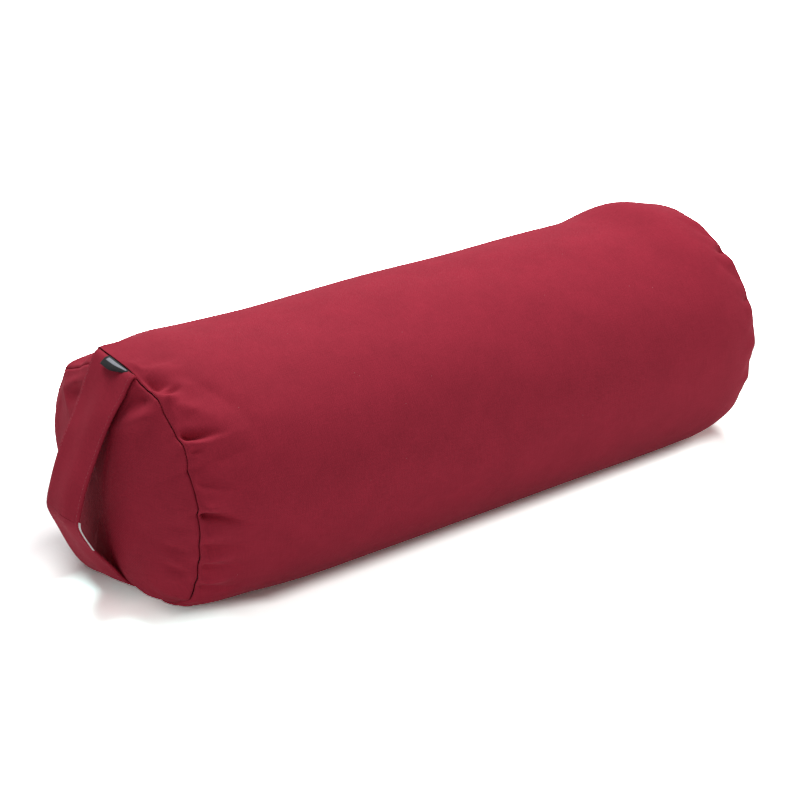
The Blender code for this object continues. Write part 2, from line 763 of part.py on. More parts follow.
def wedge_outline():
    sides = [(-WEDGE_WIDEST, side * WEDGE_HALF_WIDTH) for side in (1, -1)]
    return [(-WEDGE_FRONT, 0), sides[0], (-WEDGE_BACK, 0), sides[1]]


def arc(radius_x, radius_y, start, stop, steps):
    """Points on an ellipse from one angle to another, both in radians."""
    angles = evenly(start, stop, steps) + [stop]
    return [(radius_x * math.cos(a), radius_y * math.sin(a)) for a in angles]


def bridge(name, frame, base, material):
    """The arch on the slider's top plate that the pull's bar passes under."""
    height = 2 * PULL_BAR_RADIUS + 2 * PULL_CLEARANCE
    sunk = PLATE_THICKNESS / 2
    length = BRIDGE_HALF_LENGTH
    outer = [(length, -sunk)] + arc(length, height + BRIDGE_STRIP, 0, math.pi, BRIDGE_STEPS)
    length -= BRIDGE_STRIP
    inner = [(length, -sunk)] + arc(length, height, 0, math.pi, BRIDGE_STEPS)
    outer.append((-BRIDGE_HALF_LENGTH, -sunk))
    inner.append((-length, -sunk))
    bm = bmesh.new()
    sides = []
    for y in (-BRIDGE_HALF_WIDTH, BRIDGE_HALF_WIDTH):
        sides.append([bm.verts.new((x, y, base + z)) for x, z in outer + inner[::-1]])
    for ring in sides:
        for i in range(len(outer) - 1):
            bm.faces.new((ring[i], ring[i + 1], ring[-2 - i], ring[-1 - i]))
    join_rows(bm, sides[0], sides[1])
    obj = add_object(name, bm, material)
    obj.matrix_world = frame
    return obj


def make_slider(name, frame, closed_x, with_bridge, material):
    """A slider at the closed end: two plates, four flanges and the wedge that parts the teeth."""
    place = frame @ Matrix.Translation((closed_x, 0, 0))
    top = SLIDER_HALF_HEIGHT
    under = top - PLATE_THICKNESS
    overlap = PLATE_THICKNESS / 2
    deep = under + overlap
    slot = TAPE_THICKNESS / 2 + FLANGE_CLEARANCE
    slider = add_prism(name, place, slider_outline(), under, top, material)
    tools = [
        add_prism(name + "_wedge", place, wedge_outline(), -deep, deep, material),
        add_prism(name + "_lower_plate", place, slider_outline(), -top, -under, material),
    ]
    for side, edge in ((-1, "above"), (1, "below")):
        outline = flange_outline(side)
        for plate, low, high in (("outer", slot, deep), ("inner", -deep, -slot)):
            label = f"{name}_{plate}_flange_{edge}"
            tools.append(add_prism(label, place, outline, low, high, material))
    if with_bridge:
        tools.append(bridge(name + "_bridge", place, top, material))
    for tool in tools:
        combine(slider, tool, "UNION")
    return slider


def make_pull(name, frame, closed_x, material):
    """The pull tab, lying back along the chain. Its own X runs from the bar to the tip."""
    pivot = SLIDER_HALF_HEIGHT + PULL_CLEARANCE + PULL_BAR_RADIUS
    place = frame @ Matrix.Translation((closed_x, 0, pivot))
    radius = PULL_BAR_RADIUS
    window = BRIDGE_HALF_LENGTH + PULL_WINDOW_ROOM
    neck = window + PULL_NECK
    grip = PULL_GRIP_HALF_WIDTH
    tip = arc(grip, grip, -math.pi / 2, math.pi / 2, PULL_TIP_STEPS)
    edge = [
        (-radius, PULL_EYE_HALF_WIDTH),
        (window, PULL_EYE_HALF_WIDTH),
        (neck, PULL_NECK_HALF_WIDTH),
        (neck + PULL_FLARE, grip),
    ]
    outline = [(x, -y) for x, y in edge] + [(PULL_LENGTH - grip + x, y) for x, y in tip] + edge[::-1]
    pull = add_prism(name, place, outline, -radius, radius, material)
    half = BRIDGE_HALF_WIDTH + PULL_CLEARANCE
    opening = [(radius, -half), (window, -half), (window, half), (radius, half)]
    middle = PULL_LENGTH - PULL_HOLE_INSET
    circle = arc(PULL_HOLE_RADIUS, PULL_HOLE_RADIUS, 0, 2 * math.pi, PULL_HOLE_STEPS)[:-1]
    hole = [(middle + x, y) for x, y in circle]
    cutters = [
        add_prism(name + "_window", place, opening, -2 * radius, 2 * radius, material),
        add_prism(name + "_hole", place, hole, -2 * radius, 2 * radius, material),
    ]
    for cutter in cutters:
        combine(pull, cutter, "DIFFERENCE")
    return pull


def chain_length(layer, shorter, pitch):
    """A whole number of teeth that fits the straight zip bed."""
    start, stop = layer.bed_ends()
    room = stop - start - shorter - 2 * (TAPE_OVERRUN + ZIP_END_ROOM)
    return int(room / pitch) * pitch


def make_zip(prefix, frame, length, pitch, with_pull, tape, teeth, metal):
    """Two tapes, two rows of teeth, the slider at the closed front end, and the stops."""
    half = length / 2
    flat = TAPE_THICKNESS / 2
    for side, word in ((-1, "upper"), (1, "lower")):
        edges = sorted((side * TAPE_EDGE, side * (TAPE_EDGE + TAPE_WIDTH)))
        low = (-half - TAPE_OVERRUN, edges[0], -flat)
        high = (half + TAPE_OVERRUN, edges[1], flat)
        zip_box(f"{prefix}_tape_{word}", frame, low, high, tape)
        tooth_row(f"{prefix}_teeth_{word}", frame, length, pitch, side, teeth)
    closed_x = -half + pitch / 4 + TOOTH_CLEARANCE / 2 - GAP + WEDGE_BACK
    make_slider(f"{prefix}_slider", frame, closed_x, with_pull, metal)
    if with_pull:
        make_pull(f"{prefix}_pull", frame, closed_x, metal)
    deep = CHAIN_THICKNESS / 2
    stop_x = closed_x - SLIDER_HALF_LENGTH - GAP
    for side, word in ((-1, "upper"), (1, "lower")):
        edges = sorted((side * GAP, side * CHAIN_HALF_WIDTH))
        low = (stop_x - STOP_LENGTH, edges[0], -deep)
        zip_box(f"{prefix}_end_stop_{word}", frame, low, (stop_x, edges[1], deep), metal)
    stop_x = half + GAP
    low = (stop_x, -CHAIN_HALF_WIDTH, -deep)
    zip_box(f"{prefix}_bottom_stop", frame, low, (stop_x + STOP_LENGTH, CHAIN_HALF_WIDTH, deep), metal)


def cut_slot(sheet, frame, length, cloth):
    """Opens the sheet along its zip, between two folded edges."""
    half = length / 2 + SLOT_OVERRUN
    low = (-half, -SLOT_WIDTH / 2, -cloth)
    high = (half, SLOT_WIDTH / 2, 3 * cloth)
    cutter = zip_box(sheet.name + "_slot", frame, low, high, sheet.data.materials[0])
    combine(sheet, cutter, "DIFFERENCE")


# The bolster

def layers():
    """The cover, the liner and the filling, each inside the one before."""
    cover = Layer(0.0, 0.0, COVER_CLOTH, COVER_ALLOWANCE, ("cover_zip", ZIP_SINK))

    inset = COVER_ALLOWANCE + CORNER_ROOM
    depth = COVER_CLOTH + LAYER_GAP
    slider_rise = SLIDER_HALF_HEIGHT - CHAIN_DEPTH - LINER_CLOTH
    zip_bed = ("liner_zip", depth + slider_rise + LAYER_GAP)
    liner = Layer(inset, depth, LINER_CLOTH, LINER_ALLOWANCE, zip_bed, cover)
    liner.follow(cover, "cover_zip", zip_clearance(cover))

    inset += LINER_ALLOWANCE + CORNER_ROOM
    depth += LINER_CLOTH + LAYER_GAP
    filling = Layer(inset, depth, outer=liner)
    filling.follow(liner, "liner_zip", zip_clearance(liner))
    filling.follow(liner, "cover_zip", LINER_CLOTH + LAYER_GAP)
    return cover, liner, filling


def zip_clearance(layer):
    """How far below a layer the next one lies, to clear the slider that runs between them."""
    return layer.cloth + CHAIN_DEPTH + SLIDER_HALF_HEIGHT + LAYER_GAP


def make_cover(layer, cloth):
    label = SIDE_LABEL_THICKNESS + GAP
    pockets = {"strap_top": STRAP_THICKNESS + GAP + label, "strap_bottom": STRAP_THICKNESS + GAP}
    end_panel("cover_end_panel_front", layer, -1, pockets, cloth)
    end_panel("cover_end_panel_rear", layer, 1, {}, cloth)
    return tube_of_cloth("cover_body", layer, cloth)


def make_liner(layer, cloth):
    end_panel("liner_end_panel_front", layer, -1, {}, cloth)
    end_panel("liner_end_panel_rear", layer, 1, {}, cloth)
    return tube_of_cloth("liner_body", layer, cloth)


def main():
    clear_scene()
    cotton = make_material("burgundy_cotton", (0.36, 0.022, 0.045), 0.85)
    calico = make_material("natural_calico", (0.72, 0.66, 0.54), 0.9)
    husk = make_material("buckwheat_husk", (0.09, 0.06, 0.045), 0.8)
    tape = make_material("zip_tape", (0.27, 0.018, 0.035), 0.8)
    teeth = make_material("zip_teeth", (0.22, 0.016, 0.03), 0.45)
    liner_tape = make_material("liner_zip_tape", (0.7, 0.66, 0.56), 0.8)
    liner_teeth = make_material("liner_zip_teeth", (0.62, 0.6, 0.53), 0.45)
    metal = make_material("zip_metal", (0.45, 0.45, 0.46), 0.35, 1.0)
    black = make_material("black_label", (0.018, 0.018, 0.02), 0.6)
    white = make_material("white_satin", (0.82, 0.8, 0.78), 0.45)

    cover, liner, filling = layers()
    cover_body = make_cover(cover, cotton)
    make_strap(cotton)
    make_side_label(black)
    make_care_label(white)
    frame = zip_frame(cover)
    length = chain_length(cover, 0.0, TOOTH_PITCH)
    cut_slot(cover_body, frame, length, COVER_CLOTH)
    make_zip("cover_zip", frame, length, TOOTH_PITCH, True, tape, teeth, metal)

    liner_body = make_liner(liner, calico)
    frame = zip_frame(liner)
    length = chain_length(liner, LINER_ZIP_SHORTER, LINER_TOOTH_PITCH)
    cut_slot(liner_body, frame, length, LINER_CLOTH)
    make_zip("liner_zip", frame, length, LINER_TOOTH_PITCH, False, liner_tape, liner_teeth, metal)
    make_filling("husk_filling", filling, husk)


main()
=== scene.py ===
"""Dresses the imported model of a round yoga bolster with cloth, stitching, labels and zips.

Lengths are in metres in the model's own frame: +X runs along the bolster, away from its strap, and
+Z is up. Tables are in millimetres where their comment says so.
"""

import json
import math
import random
from contextlib import contextmanager

import bpy
import bmesh
import numpy as np
from bpy.props import FloatProperty, FloatVectorProperty, IntProperty, PointerProperty
from mathutils import Matrix, Vector


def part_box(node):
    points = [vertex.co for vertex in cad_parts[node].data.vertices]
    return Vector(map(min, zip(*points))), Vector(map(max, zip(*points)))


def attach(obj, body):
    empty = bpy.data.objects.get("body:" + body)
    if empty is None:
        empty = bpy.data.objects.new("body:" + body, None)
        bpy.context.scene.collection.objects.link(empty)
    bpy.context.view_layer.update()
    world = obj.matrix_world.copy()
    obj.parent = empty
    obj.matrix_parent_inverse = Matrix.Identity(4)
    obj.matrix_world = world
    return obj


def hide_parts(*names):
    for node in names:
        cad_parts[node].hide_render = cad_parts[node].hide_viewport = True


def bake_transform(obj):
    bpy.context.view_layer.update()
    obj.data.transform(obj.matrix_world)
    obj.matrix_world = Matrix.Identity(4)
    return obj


bl_info = {
    "name": "Round Yoga Bolster",
    "version": (1, 0, 0),
    "blender": (4, 5, 0),
    "location": "3D View > Sidebar > Bolster",
    "description": "Dresses a packed bolster model with cloth, stitching, labels and zips",
    "category": "Add Mesh",
}

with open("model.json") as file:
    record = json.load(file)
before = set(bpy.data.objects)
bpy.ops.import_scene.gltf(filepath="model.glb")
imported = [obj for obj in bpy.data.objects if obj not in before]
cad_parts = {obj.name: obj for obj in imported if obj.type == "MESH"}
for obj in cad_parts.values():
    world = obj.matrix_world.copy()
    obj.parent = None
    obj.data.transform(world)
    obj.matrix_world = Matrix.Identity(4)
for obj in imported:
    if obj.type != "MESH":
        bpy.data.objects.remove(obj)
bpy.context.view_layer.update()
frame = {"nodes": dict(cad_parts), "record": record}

MM = 0.001

# The model's main sizes
LENGTH = 650 * MM
WIDTH = 250 * MM
HEIGHT = 213 * MM
WIDEST_AT = 118 * MM
FOOT_WIDTH = 80 * MM
END_CROWN = 21 * MM
SEAM_X = LENGTH / 2 - END_CROWN
SEAM_DEPTH = 15.5 * MM
SEAM_DEPTH_TOP = 4.5 * MM
SEAM_DEPTH_BOTTOM = 24 * MM
FRONT_SHOULDER = 155 * MM
REAR_SHOULDER = 61 * MM
CROWN_HEIGHT = 91 * MM  # height at which an end panel bulges most
STRAP_LEVEL = 210.8 * MM  # height of the seam where the strap is sewn in
STRAP_TILT = 0.11  # how steeply that seam falls towards the strap's near edge
STRAP_DROP = 2 * MM  # how far the filled cushion lets it down
STRAP_Y = 6 * MM
STRAP_WIDTH = 52 * MM

# The strap's middle line as (x, z) in millimetres, from inside the upper seam to inside the lower one
STRAP_PATH = (
    (-299.5, 202.0), (-306.6, 209.6), (-317.4, 192.3), (-326.9, 175.2), (-335.4, 159.0),
    (-342.8, 144.0), (-349.1, 130.6), (-354.2, 118.5), (-358.0, 107.5), (-360.6, 98.5),
    (-361.4, 90.5), (-358.4, 82.5), (-353.6, 74.0), (-348.4, 65.3), (-342.6, 56.3),
    (-336.0, 47.0), (-329.0, 37.4), (-322.2, 29.4), (-314.6, 23.4), (-305.6, 19.6), (-298.4, 26.0),
)

# Zips: a point of the chain's middle, the angle of the way out of the cloth, and the way it closes
COVER_ZIP = {"y": 107.61 * MM, "z": 155.14 * MM, "tilt": math.radians(31.53), "along": 1}
LINER_ZIP = {"y": -107.5 * MM, "z": 59.97 * MM, "tilt": math.radians(203.4), "along": -1}
CHAIN_TO_CLOTH = 1.55 * MM  # from the chain's middle to the cover's outer face
SLOT_HALF = 5.2 * MM
SLOT_ENDS = (-0.2322, 0.2707)
BED_HALF = 18 * MM
BED_FADE = 22 * MM
BED_EDGE_DEPTH = 3 * MM

# Folds of the cover: points (x, s) that a fold runs through, from the seam inwards, its depth (ridges
# are negative) and its half width, in millimetres. s runs round the section from the widest place at
# the back over the top.
FRONT_FOLDS = (
    (((-305, 203), (-300, 213), (-292, 221)), 8.0, 5.5),
    (((-305, 215), (-298, 222), (-289, 225)), 7.5, 4.6),
    (((-294, 231), (-282, 231.5)), 5.0, 4.0),
    (((-301, 231), (-291, 226.5)), -3.0, 2.6),
    (((-305, 238), (-299, 238), (-291, 237)), -4.0, 3.6),
    (((-304, 184), (-287, 208), (-268, 224)), -3.4, 8),
    (((-298, 241), (-287, 253), (-268, 270)), -4.5, 8),
    (((-305, 268.5), (-292, 275.5), (-273, 280)), 10.0, 4.2),
    (((-304, 279), (-285, 285)), -3.0, 3.6),
    (((-305, 285), (-291, 288)), 4.0, 2.8),
    (((-305, 293), (-285, 300)), -2.4, 5),
    (((-305, 313), (-288, 323), (-270, 332)), 3.6, 4.5),
    (((-305, 339), (-284, 344)), -4.6, 5),
    (((-306, 347.5), (-290, 352), (-270, 361)), 11.0, 3.4),
    (((-305, 365), (-282, 369)), -3.6, 6),
    (((-305, 376.5), (-266, 386)), 4.6, 4.2),
    (((-305, 388), (-281, 391)), -4.8, 4.5),
    (((-305, 398), (-268, 405)), 4.8, 4.2),
    (((-305, 411), (-278, 415)), -4.8, 4.5),
    (((-305, 421), (-266, 430)), 3.8, 4.6),
    (((-268, 236), (-251, 266), (-244, 291), (-243, 313)), 1.6, 7),
    (((-306, 70), (-284, 73)), -1.6, 8),
    (((-306, 56), (-290, 58)), 2.2, 7),
    (((-306, 724), (-275, 724)), -5.0, 42),
)
REAR_FOLDS = (
    (((306, 190), (286, 192)), 1.6, 7),
    (((306, 212), (284, 210)), -1.6, 8),
    (((306, 229), (290, 229)), 2.0, 5),
    (((307, 247), (288, 250)), 8.5, 4.2),
    (((306, 264), (284, 266)), -3.6, 8),
    (((306, 283), (292, 285)), 1.6, 4),
    (((306, 303), (287, 306)), 5.0, 3.4),
    (((306, 316), (288, 318)), -2.0, 6),
    (((306, 335), (290, 335)), 3.0, 4.5),
    (((306, 353), (284, 354)), -2.6, 8),
    (((306, 377), (290, 377)), 3.8, 4.5),
    (((306, 391), (287, 392)), -2.4, 6),
    (((306, 414), (290, 414)), 1.0, 6),
    (((306, 434), (288, 434)), -0.6, 8),
)
# How far inside its plain ring each end seam lies, as (place round the section, depth) in millimetres
REAR_RING = (
    (0, 0), (370, 0), (390, -1), (408, -2), (428, -3), (460, -3), (500, -4), (561, -4), (620, -4),
    (660, -3), (700, -1), (730, 0),
)
FRONT_RING = (
    (0, 0), (50, 0), (68, -3), (82, 2), (98, 5), (122, 5.5), (145, 2), (165, 0), (186, 0), (200, 2),
    (214, 0), (232, -1), (244, 2), (258, 1.5), (270, -1), (284, -3.5), (292, 0), (300, 5), (312, 3.5),
    (342, 3.2), (352, 2.7), (370, 1.2), (382, 0), (402, -1.5), (428, -5), (444, -8), (460, -5),
    (480, -6), (500, -7), (561, -5), (620, -8), (660, -6), (700, -3), (730, 0),
)
RING_REACH = 70 * MM  # how far from the seam that is felt
STRAP_FADE = 12 * MM  # beside the strap, where its seam meets the plain one
FOLD_FADE = 6 * MM  # from the seam to where folds and grooves have their full depth
FOLD_AT_SEAM = 0.2  # share of a fold's depth that is left on the seam itself
GIVEN_FOLDS_RANGE = (155, 445)  # where round the section the tables give every fold


# Sections


def section_outline(steps=720):
    """The full section from the back's widest point over the top, tabled over its own length."""
    half = WIDTH / 2
    above = HEIGHT - WIDEST_AT
    foot = FOOT_WIDTH / 2
    side = half - foot
    upper = np.linspace(0, math.pi, steps, endpoint=False)
    quarter = np.linspace(0, math.pi / 2, steps // 2, endpoint=False)
    flat = np.linspace(-foot, foot, steps // 6, endpoint=False)
    back = math.pi / 2 - quarter
    y = [half * np.cos(upper), -foot - side * np.cos(quarter), flat, foot + side * np.cos(back)]
    z = [WIDEST_AT + above * np.sin(upper), WIDEST_AT * (1 - np.sin(quarter)), 0 * flat]
    z.append(WIDEST_AT * (1 - np.sin(back)))
    top = SEAM_DEPTH_TOP - SEAM_DEPTH
    bottom = SEAM_DEPTH_BOTTOM - SEAM_DEPTH
    extra = [top * np.sin(upper) ** 4, bottom * np.sin(quarter) ** 4, 0 * flat + bottom]
    extra.append(bottom * np.sin(back) ** 4)
    points = np.stack([np.concatenate(y), np.concatenate(z)], 1)
    ahead = np.roll(points, -1, 0)
    places = np.concatenate([[0.0], np.cumsum(np.linalg.norm(ahead - points, axis=1))])
    tangent = ahead - np.roll(points, 1, 0)
    tangent /= np.linalg.norm(tangent, axis=1)[:, None]
    table = np.column_stack([points, -tangent[:, 1], tangent[:, 0], np.concatenate(extra)])
    return places, np.vstack([table, table[:1]])


PLACES, SECTION = section_outline()
GIRTH = PLACES[-1]


def section_at(s):
    """Points (y, z), inward directions and the seam's extra depth at places round the section."""
    columns = [np.interp(np.mod(s, GIRTH), PLACES, SECTION[:, i]) for i in range(5)]
    return np.stack(columns[:2], -1), np.stack(columns[2:4], -1), columns[4]


def place_of(y, z):
    """How far round the section the point nearest to (y, z) lies."""
    return PLACES[int(np.argmin(np.hypot(SECTION[:-1, 0] - y, SECTION[:-1, 1] - z)))]


def apart(s, place):
    """Signed distance from a place round the section, the short way."""
    return np.mod(s - place + GIRTH / 2, GIRTH) - GIRTH / 2


def smooth_step(t):
    """0 below 0, 1 above 1, and a smooth rise between."""
    t = np.clip(t, 0, 1)
    return t * t * (3 - 2 * t)


def zip_out(zip_):
    """The way out of the cloth at a zip, as (y, z)."""
    return np.array([math.cos(zip_["tilt"]), math.sin(zip_["tilt"])])


COVER_ZIP_PLACE = place_of(COVER_ZIP["y"], COVER_ZIP["z"])


def profile(x):
    """Depth of the cover below the full section along the bolster, at the sides."""
    length = np.where(x < 0, FRONT_SHOULDER, REAR_SHOULDER)
    left = np.clip(1 - (SEAM_X - np.abs(x)) / length, 0, 1)
    return SEAM_DEPTH * (1 - np.sqrt(1 - left**2)), left**2


def bed_depth(points, inward, s):
    """Depth of the flat strip that holds the cover's zip, fading out on each side of it."""
    out = zip_out(COVER_ZIP)
    middle = np.array([COVER_ZIP["y"], COVER_ZIP["z"]]) + out * CHAIN_TO_CLOTH
    off = np.abs(apart(s, COVER_ZIP_PLACE))
    near = off < BED_HALF
    facing = np.where(near, -(inward @ out), 1.0)
    plane = np.where(near, ((points - middle) @ out) / facing, BED_EDGE_DEPTH)
    return plane * (1 - smooth_step((off - BED_HALF) / BED_FADE))


def cover_surface(x, s, inwards=0.0):
    """Points of the smooth cover, before any fold, for arrays of x and of places s."""
    points, inward, extra = section_at(s)
    depth, share = profile(x)
    look = bpy.context.scene.bolster_cover
    side = np.clip(points[..., 0] / (WIDTH / 2), 0, 1) ** 2
    front, rear = (np.interp(np.mod(s, GIRTH), *(np.array(table).T * MM), period=GIRTH)
                   for table in (FRONT_RING, REAR_RING))
    ring = np.where(x < 0, front, rear) * smooth_step(1 - (SEAM_X - np.abs(x)) / RING_REACH)
    lean = np.where(x < 0, look.lean * side * share, 0.0)
    depth = np.maximum(depth + extra * share - lean + ring, bed_depth(points, inward, s))
    placed = points + inward * depth[..., None]
    window = 1 - smooth_step((np.abs(placed[..., 0] - STRAP_Y) - STRAP_WIDTH / 2) / STRAP_FADE)
    window = np.where((x < 0) & (placed[..., 1] > WIDEST_AT), window * share**3, 0.0)
    level = STRAP_LEVEL - STRAP_DROP + STRAP_TILT * (placed[..., 0] - STRAP_Y)
    placed[..., 1] += (level - placed[..., 1]) * window
    placed = placed + inward * np.asarray(inwards)[..., None]
    return np.concatenate([(x + 0 * s)[..., None], placed], -1)


# Meshes


def linked(name, data):
    """A new object in the scene."""
    made = bpy.data.objects.new(name, data)
    bpy.context.collection.objects.link(made)
    return made


@contextmanager
def edited(mesh):
    """A bmesh of a mesh, written back at the end."""
    bm = bmesh.new()
    bm.from_mesh(mesh)
    yield bm
    bm.to_mesh(mesh)
    bm.free()


def remove(piece):
    """Removes an object and its mesh."""
    mesh = piece.data
    bpy.data.objects.remove(piece)
    bpy.data.meshes.remove(mesh)


def set_map(mesh, uvs):
    """Gives a mesh its map, one (u, v) for each face corner."""
    layer = mesh.uv_layers.new(name="cloth")
    layer.data.foreach_set("uv", np.asarray(uvs, np.float32).ravel())


def new_piece(name, points, faces, uvs=None, material=None):
    """A mesh object from points, faces of indices, and one (u, v) for each face corner."""
    mesh = bpy.data.meshes.new(name)
    mesh.from_pydata(np.asarray(points).reshape(-1, 3).tolist(), [], [list(f) for f in faces])
    if uvs is not None:
        set_map(mesh, uvs)
    mesh.shade_smooth()
    if material:
        mesh.materials.append(material)
    return linked(name, mesh)


def grid_faces(rows, columns, closed, keep=None):
    """Quads of a grid, wound so that they face out of a ring that runs from +Y over the top."""
    i, j = np.meshgrid(np.arange(rows - 1), np.arange(columns if closed else columns - 1), indexing="ij")
    k = (j + 1) % columns
    here, ahead = i * columns, (i + 1) * columns
    quads = np.stack([here + j, here + k, ahead + k, ahead + j], -1)
    return quads[keep] if keep is not None else quads.reshape(-1, 4)


def grid_uvs(u, v, closed, girth=0.0, keep=None):
    """Corner coordinates for grid_faces from arrays u and v over the grid."""
    if closed:
        u = np.concatenate([u, u[:, :1]], 1)
        v = np.concatenate([v, v[:, :1] + girth], 1)
    first, second = slice(None, -1), slice(1, None)
    corners = ((first, first), (first, second), (second, second), (second, first))
    uvs = np.stack([np.stack([u[corner], v[corner]], -1) for corner in corners], 2)
    return uvs[keep] if keep is not None else uvs.reshape(-1, 4, 2)


def doubled(values, axis, closed):
    """Puts a point between each two along an axis of a grid, on a smooth curve through them."""
    values = np.moveaxis(values, axis, 0)
    if closed:
        before, after, beyond = (np.roll(values, n, 0) for n in (1, -1, -2))
        between = (9 * (values + after) - before - beyond) / 16
        made = np.stack([values, between], 1).reshape(-1, *values.shape[1:])
    else:
        ends = [2 * values[:1] - values[1:2], values, 2 * values[-1:] - values[-2:-1]]
        p = np.concatenate(ends)
        between = (9 * (p[1:-2] + p[2:-1]) - p[:-3] - p[3:]) / 16
        made = np.empty((2 * len(values) - 1, *values.shape[1:]))
        made[::2] = values
        made[1::2] = between
    return np.moveaxis(made, 0, axis)


def shade_smooth_but(piece, degrees):
    """Shades a piece smooth, but for the edges that are sharper than an angle."""
    piece.data.shade_smooth()
    piece.data.set_sharp_from_angle(angle=math.radians(degrees))


def thicken(piece, thickness):
    """Gives a sheet its thickness, inwards from its outer face, and applies it."""
    solid = piece.modifiers.new("Thickness", "SOLIDIFY")
    solid.thickness = thickness
    solid.offset = -1.0
    apply_modifiers(piece)


def apply_modifiers(piece):
    """Replaces a piece's mesh by what its modifiers make of it, and removes them."""
    shown = piece.evaluated_get(bpy.context.evaluated_depsgraph_get())
    mesh = bpy.data.meshes.new_from_object(shown)
    old = piece.data
    piece.modifiers.clear()
    piece.data = mesh
    mesh.name = piece.name
    bpy.data.meshes.remove(old)


# Cloth simulation

CLOTH_PHYSICS = {
    "quality": 5, "mass": 0.3, "tension_stiffness": 18, "compression_stiffness": 18, "shear_stiffness": 8,
    "bending_stiffness": 1.2, "use_pressure": True,
}


def simulate(points, faces, rest, held, look):
    """Lets cloth that was cut to the rest points settle from the given points, with some held."""
    piece = new_piece("settling_cloth", points, faces)
    piece.shape_key_add(name="Basis")
    cut = piece.shape_key_add(name="cut")
    cut.data.foreach_set("co", np.asarray(rest, np.float32).ravel())
    group = piece.vertex_groups.new(name="sewn")
    group.add(np.flatnonzero(held.ravel()).tolist(), 1.0, "REPLACE")
    cloth = piece.modifiers.new("Cloth", "CLOTH")
    settings = cloth.settings
    for name, value in CLOTH_PHYSICS.items():
        setattr(settings, name, value)
    settings.vertex_group_mass = group.name
    settings.rest_shape_key = cut
    settings.uniform_pressure_force = look.pressure
    settings.effector_weights.gravity = 0
    cloth.point_cache.frame_start = 1
    cloth.point_cache.frame_end = look.frames
    scene = bpy.context.scene
    for number in range(1, look.frames + 1):
        scene.frame_set(number)
    shown = piece.evaluated_get(bpy.context.evaluated_depsgraph_get())
    settled = np.empty(len(shown.data.vertices) * 3)
    shown.data.vertices.foreach_get("co", settled)
    remove(piece)
    scene.frame_set(1)
    return settled.reshape(np.shape(points))


def capped(moves, cap):
    """Keeps each move direction, and lets its length grow towards the cap only."""
    size = np.linalg.norm(moves, axis=-1, keepdims=True)
    return moves * cap / (cap + size)


# Folds


def fold_depth(x, s, folds):
    """Inward depth of a table of folds: sharp valleys and rounded ridges that fade at their far end."""
    depth = np.zeros(np.broadcast(x, s).shape)
    for points, deep, width in folds:
        line = np.array(points) * MM
        lengths = np.linalg.norm(np.diff(line, axis=0), axis=1)
        total = lengths.sum()
        nearest = np.full(depth.shape, np.inf)
        share = np.zeros(depth.shape)
        done = 0.0
        for (xa, sa), (xb, sb), length in zip(line, line[1:], lengths):
            dx, ds = x - xa, apart(s, sa)
            along = (dx * (xb - xa) + ds * (sb - sa)) / length**2
            first, last = done == 0.0, done + length > total - 1e-9
            held = np.clip(along, -0.5 if first else 0.0, 1.6 if last else 1.0)
            off = np.hypot(dx - held * (xb - xa), ds - held * (sb - sa))
            closer = off < nearest
            nearest = np.where(closer, off, nearest)
            share = np.where(closer, (done + held * length) / total, share)
            done += length
        across = nearest / (width * MM)
        valley, ridge = np.exp(1 - np.sqrt(1 + (1.7 * across) ** 2)), np.exp(-(across**2))
        shape = valley if deep > 0 else ridge
        fade = np.clip(1 - np.clip(share, 0, None) ** 2 / 1.7, 0, 1) ** 2
        depth += deep * MM * shape * fade
    return depth * (FOLD_AT_SEAM + (1 - FOLD_AT_SEAM) * smooth_step((SEAM_X - np.abs(x)) / FOLD_FADE))


def loose_folds(seed, end, spacing, deepest):
    """Smaller gathers at seeded places round a seam, where the tables give none."""
    draw = random.Random(seed)
    folds = []
    s, sign = 0.0, 1
    while s < GIRTH - 8 * MM:
        s += draw.uniform(0.7, 1.4) * spacing
        deep = sign * draw.uniform(0.35, 1.0) * deepest / MM
        width = draw.uniform(3.5, 7.0)
        length = draw.uniform(12, 34)
        drift = draw.uniform(-4, 4)
        sign = -sign
        given = GIVEN_FOLDS_RANGE[0] * MM < s < GIVEN_FOLDS_RANGE[1] * MM
        under = abs(apart(s, place_of(0.0, 0.0))) < 70 * MM
        if not given and not under:
            first, last = end * 306, end * (304 - length)
            folds.append((((first, s / MM), (last, s / MM + drift)), deep, width))
    return folds


# Materials

WAVES_PER_METRE = 2 * math.pi / 20  # a wave texture's scale for one band a metre
LINT_COLOUR = (0.75, 0.55, 0.55)
TAPE_RIB = 0.9 * MM  # between the ribs of a zip's tape
PATCH_EDGE = 0.3 * MM  # softness of the edge of a label's pale field


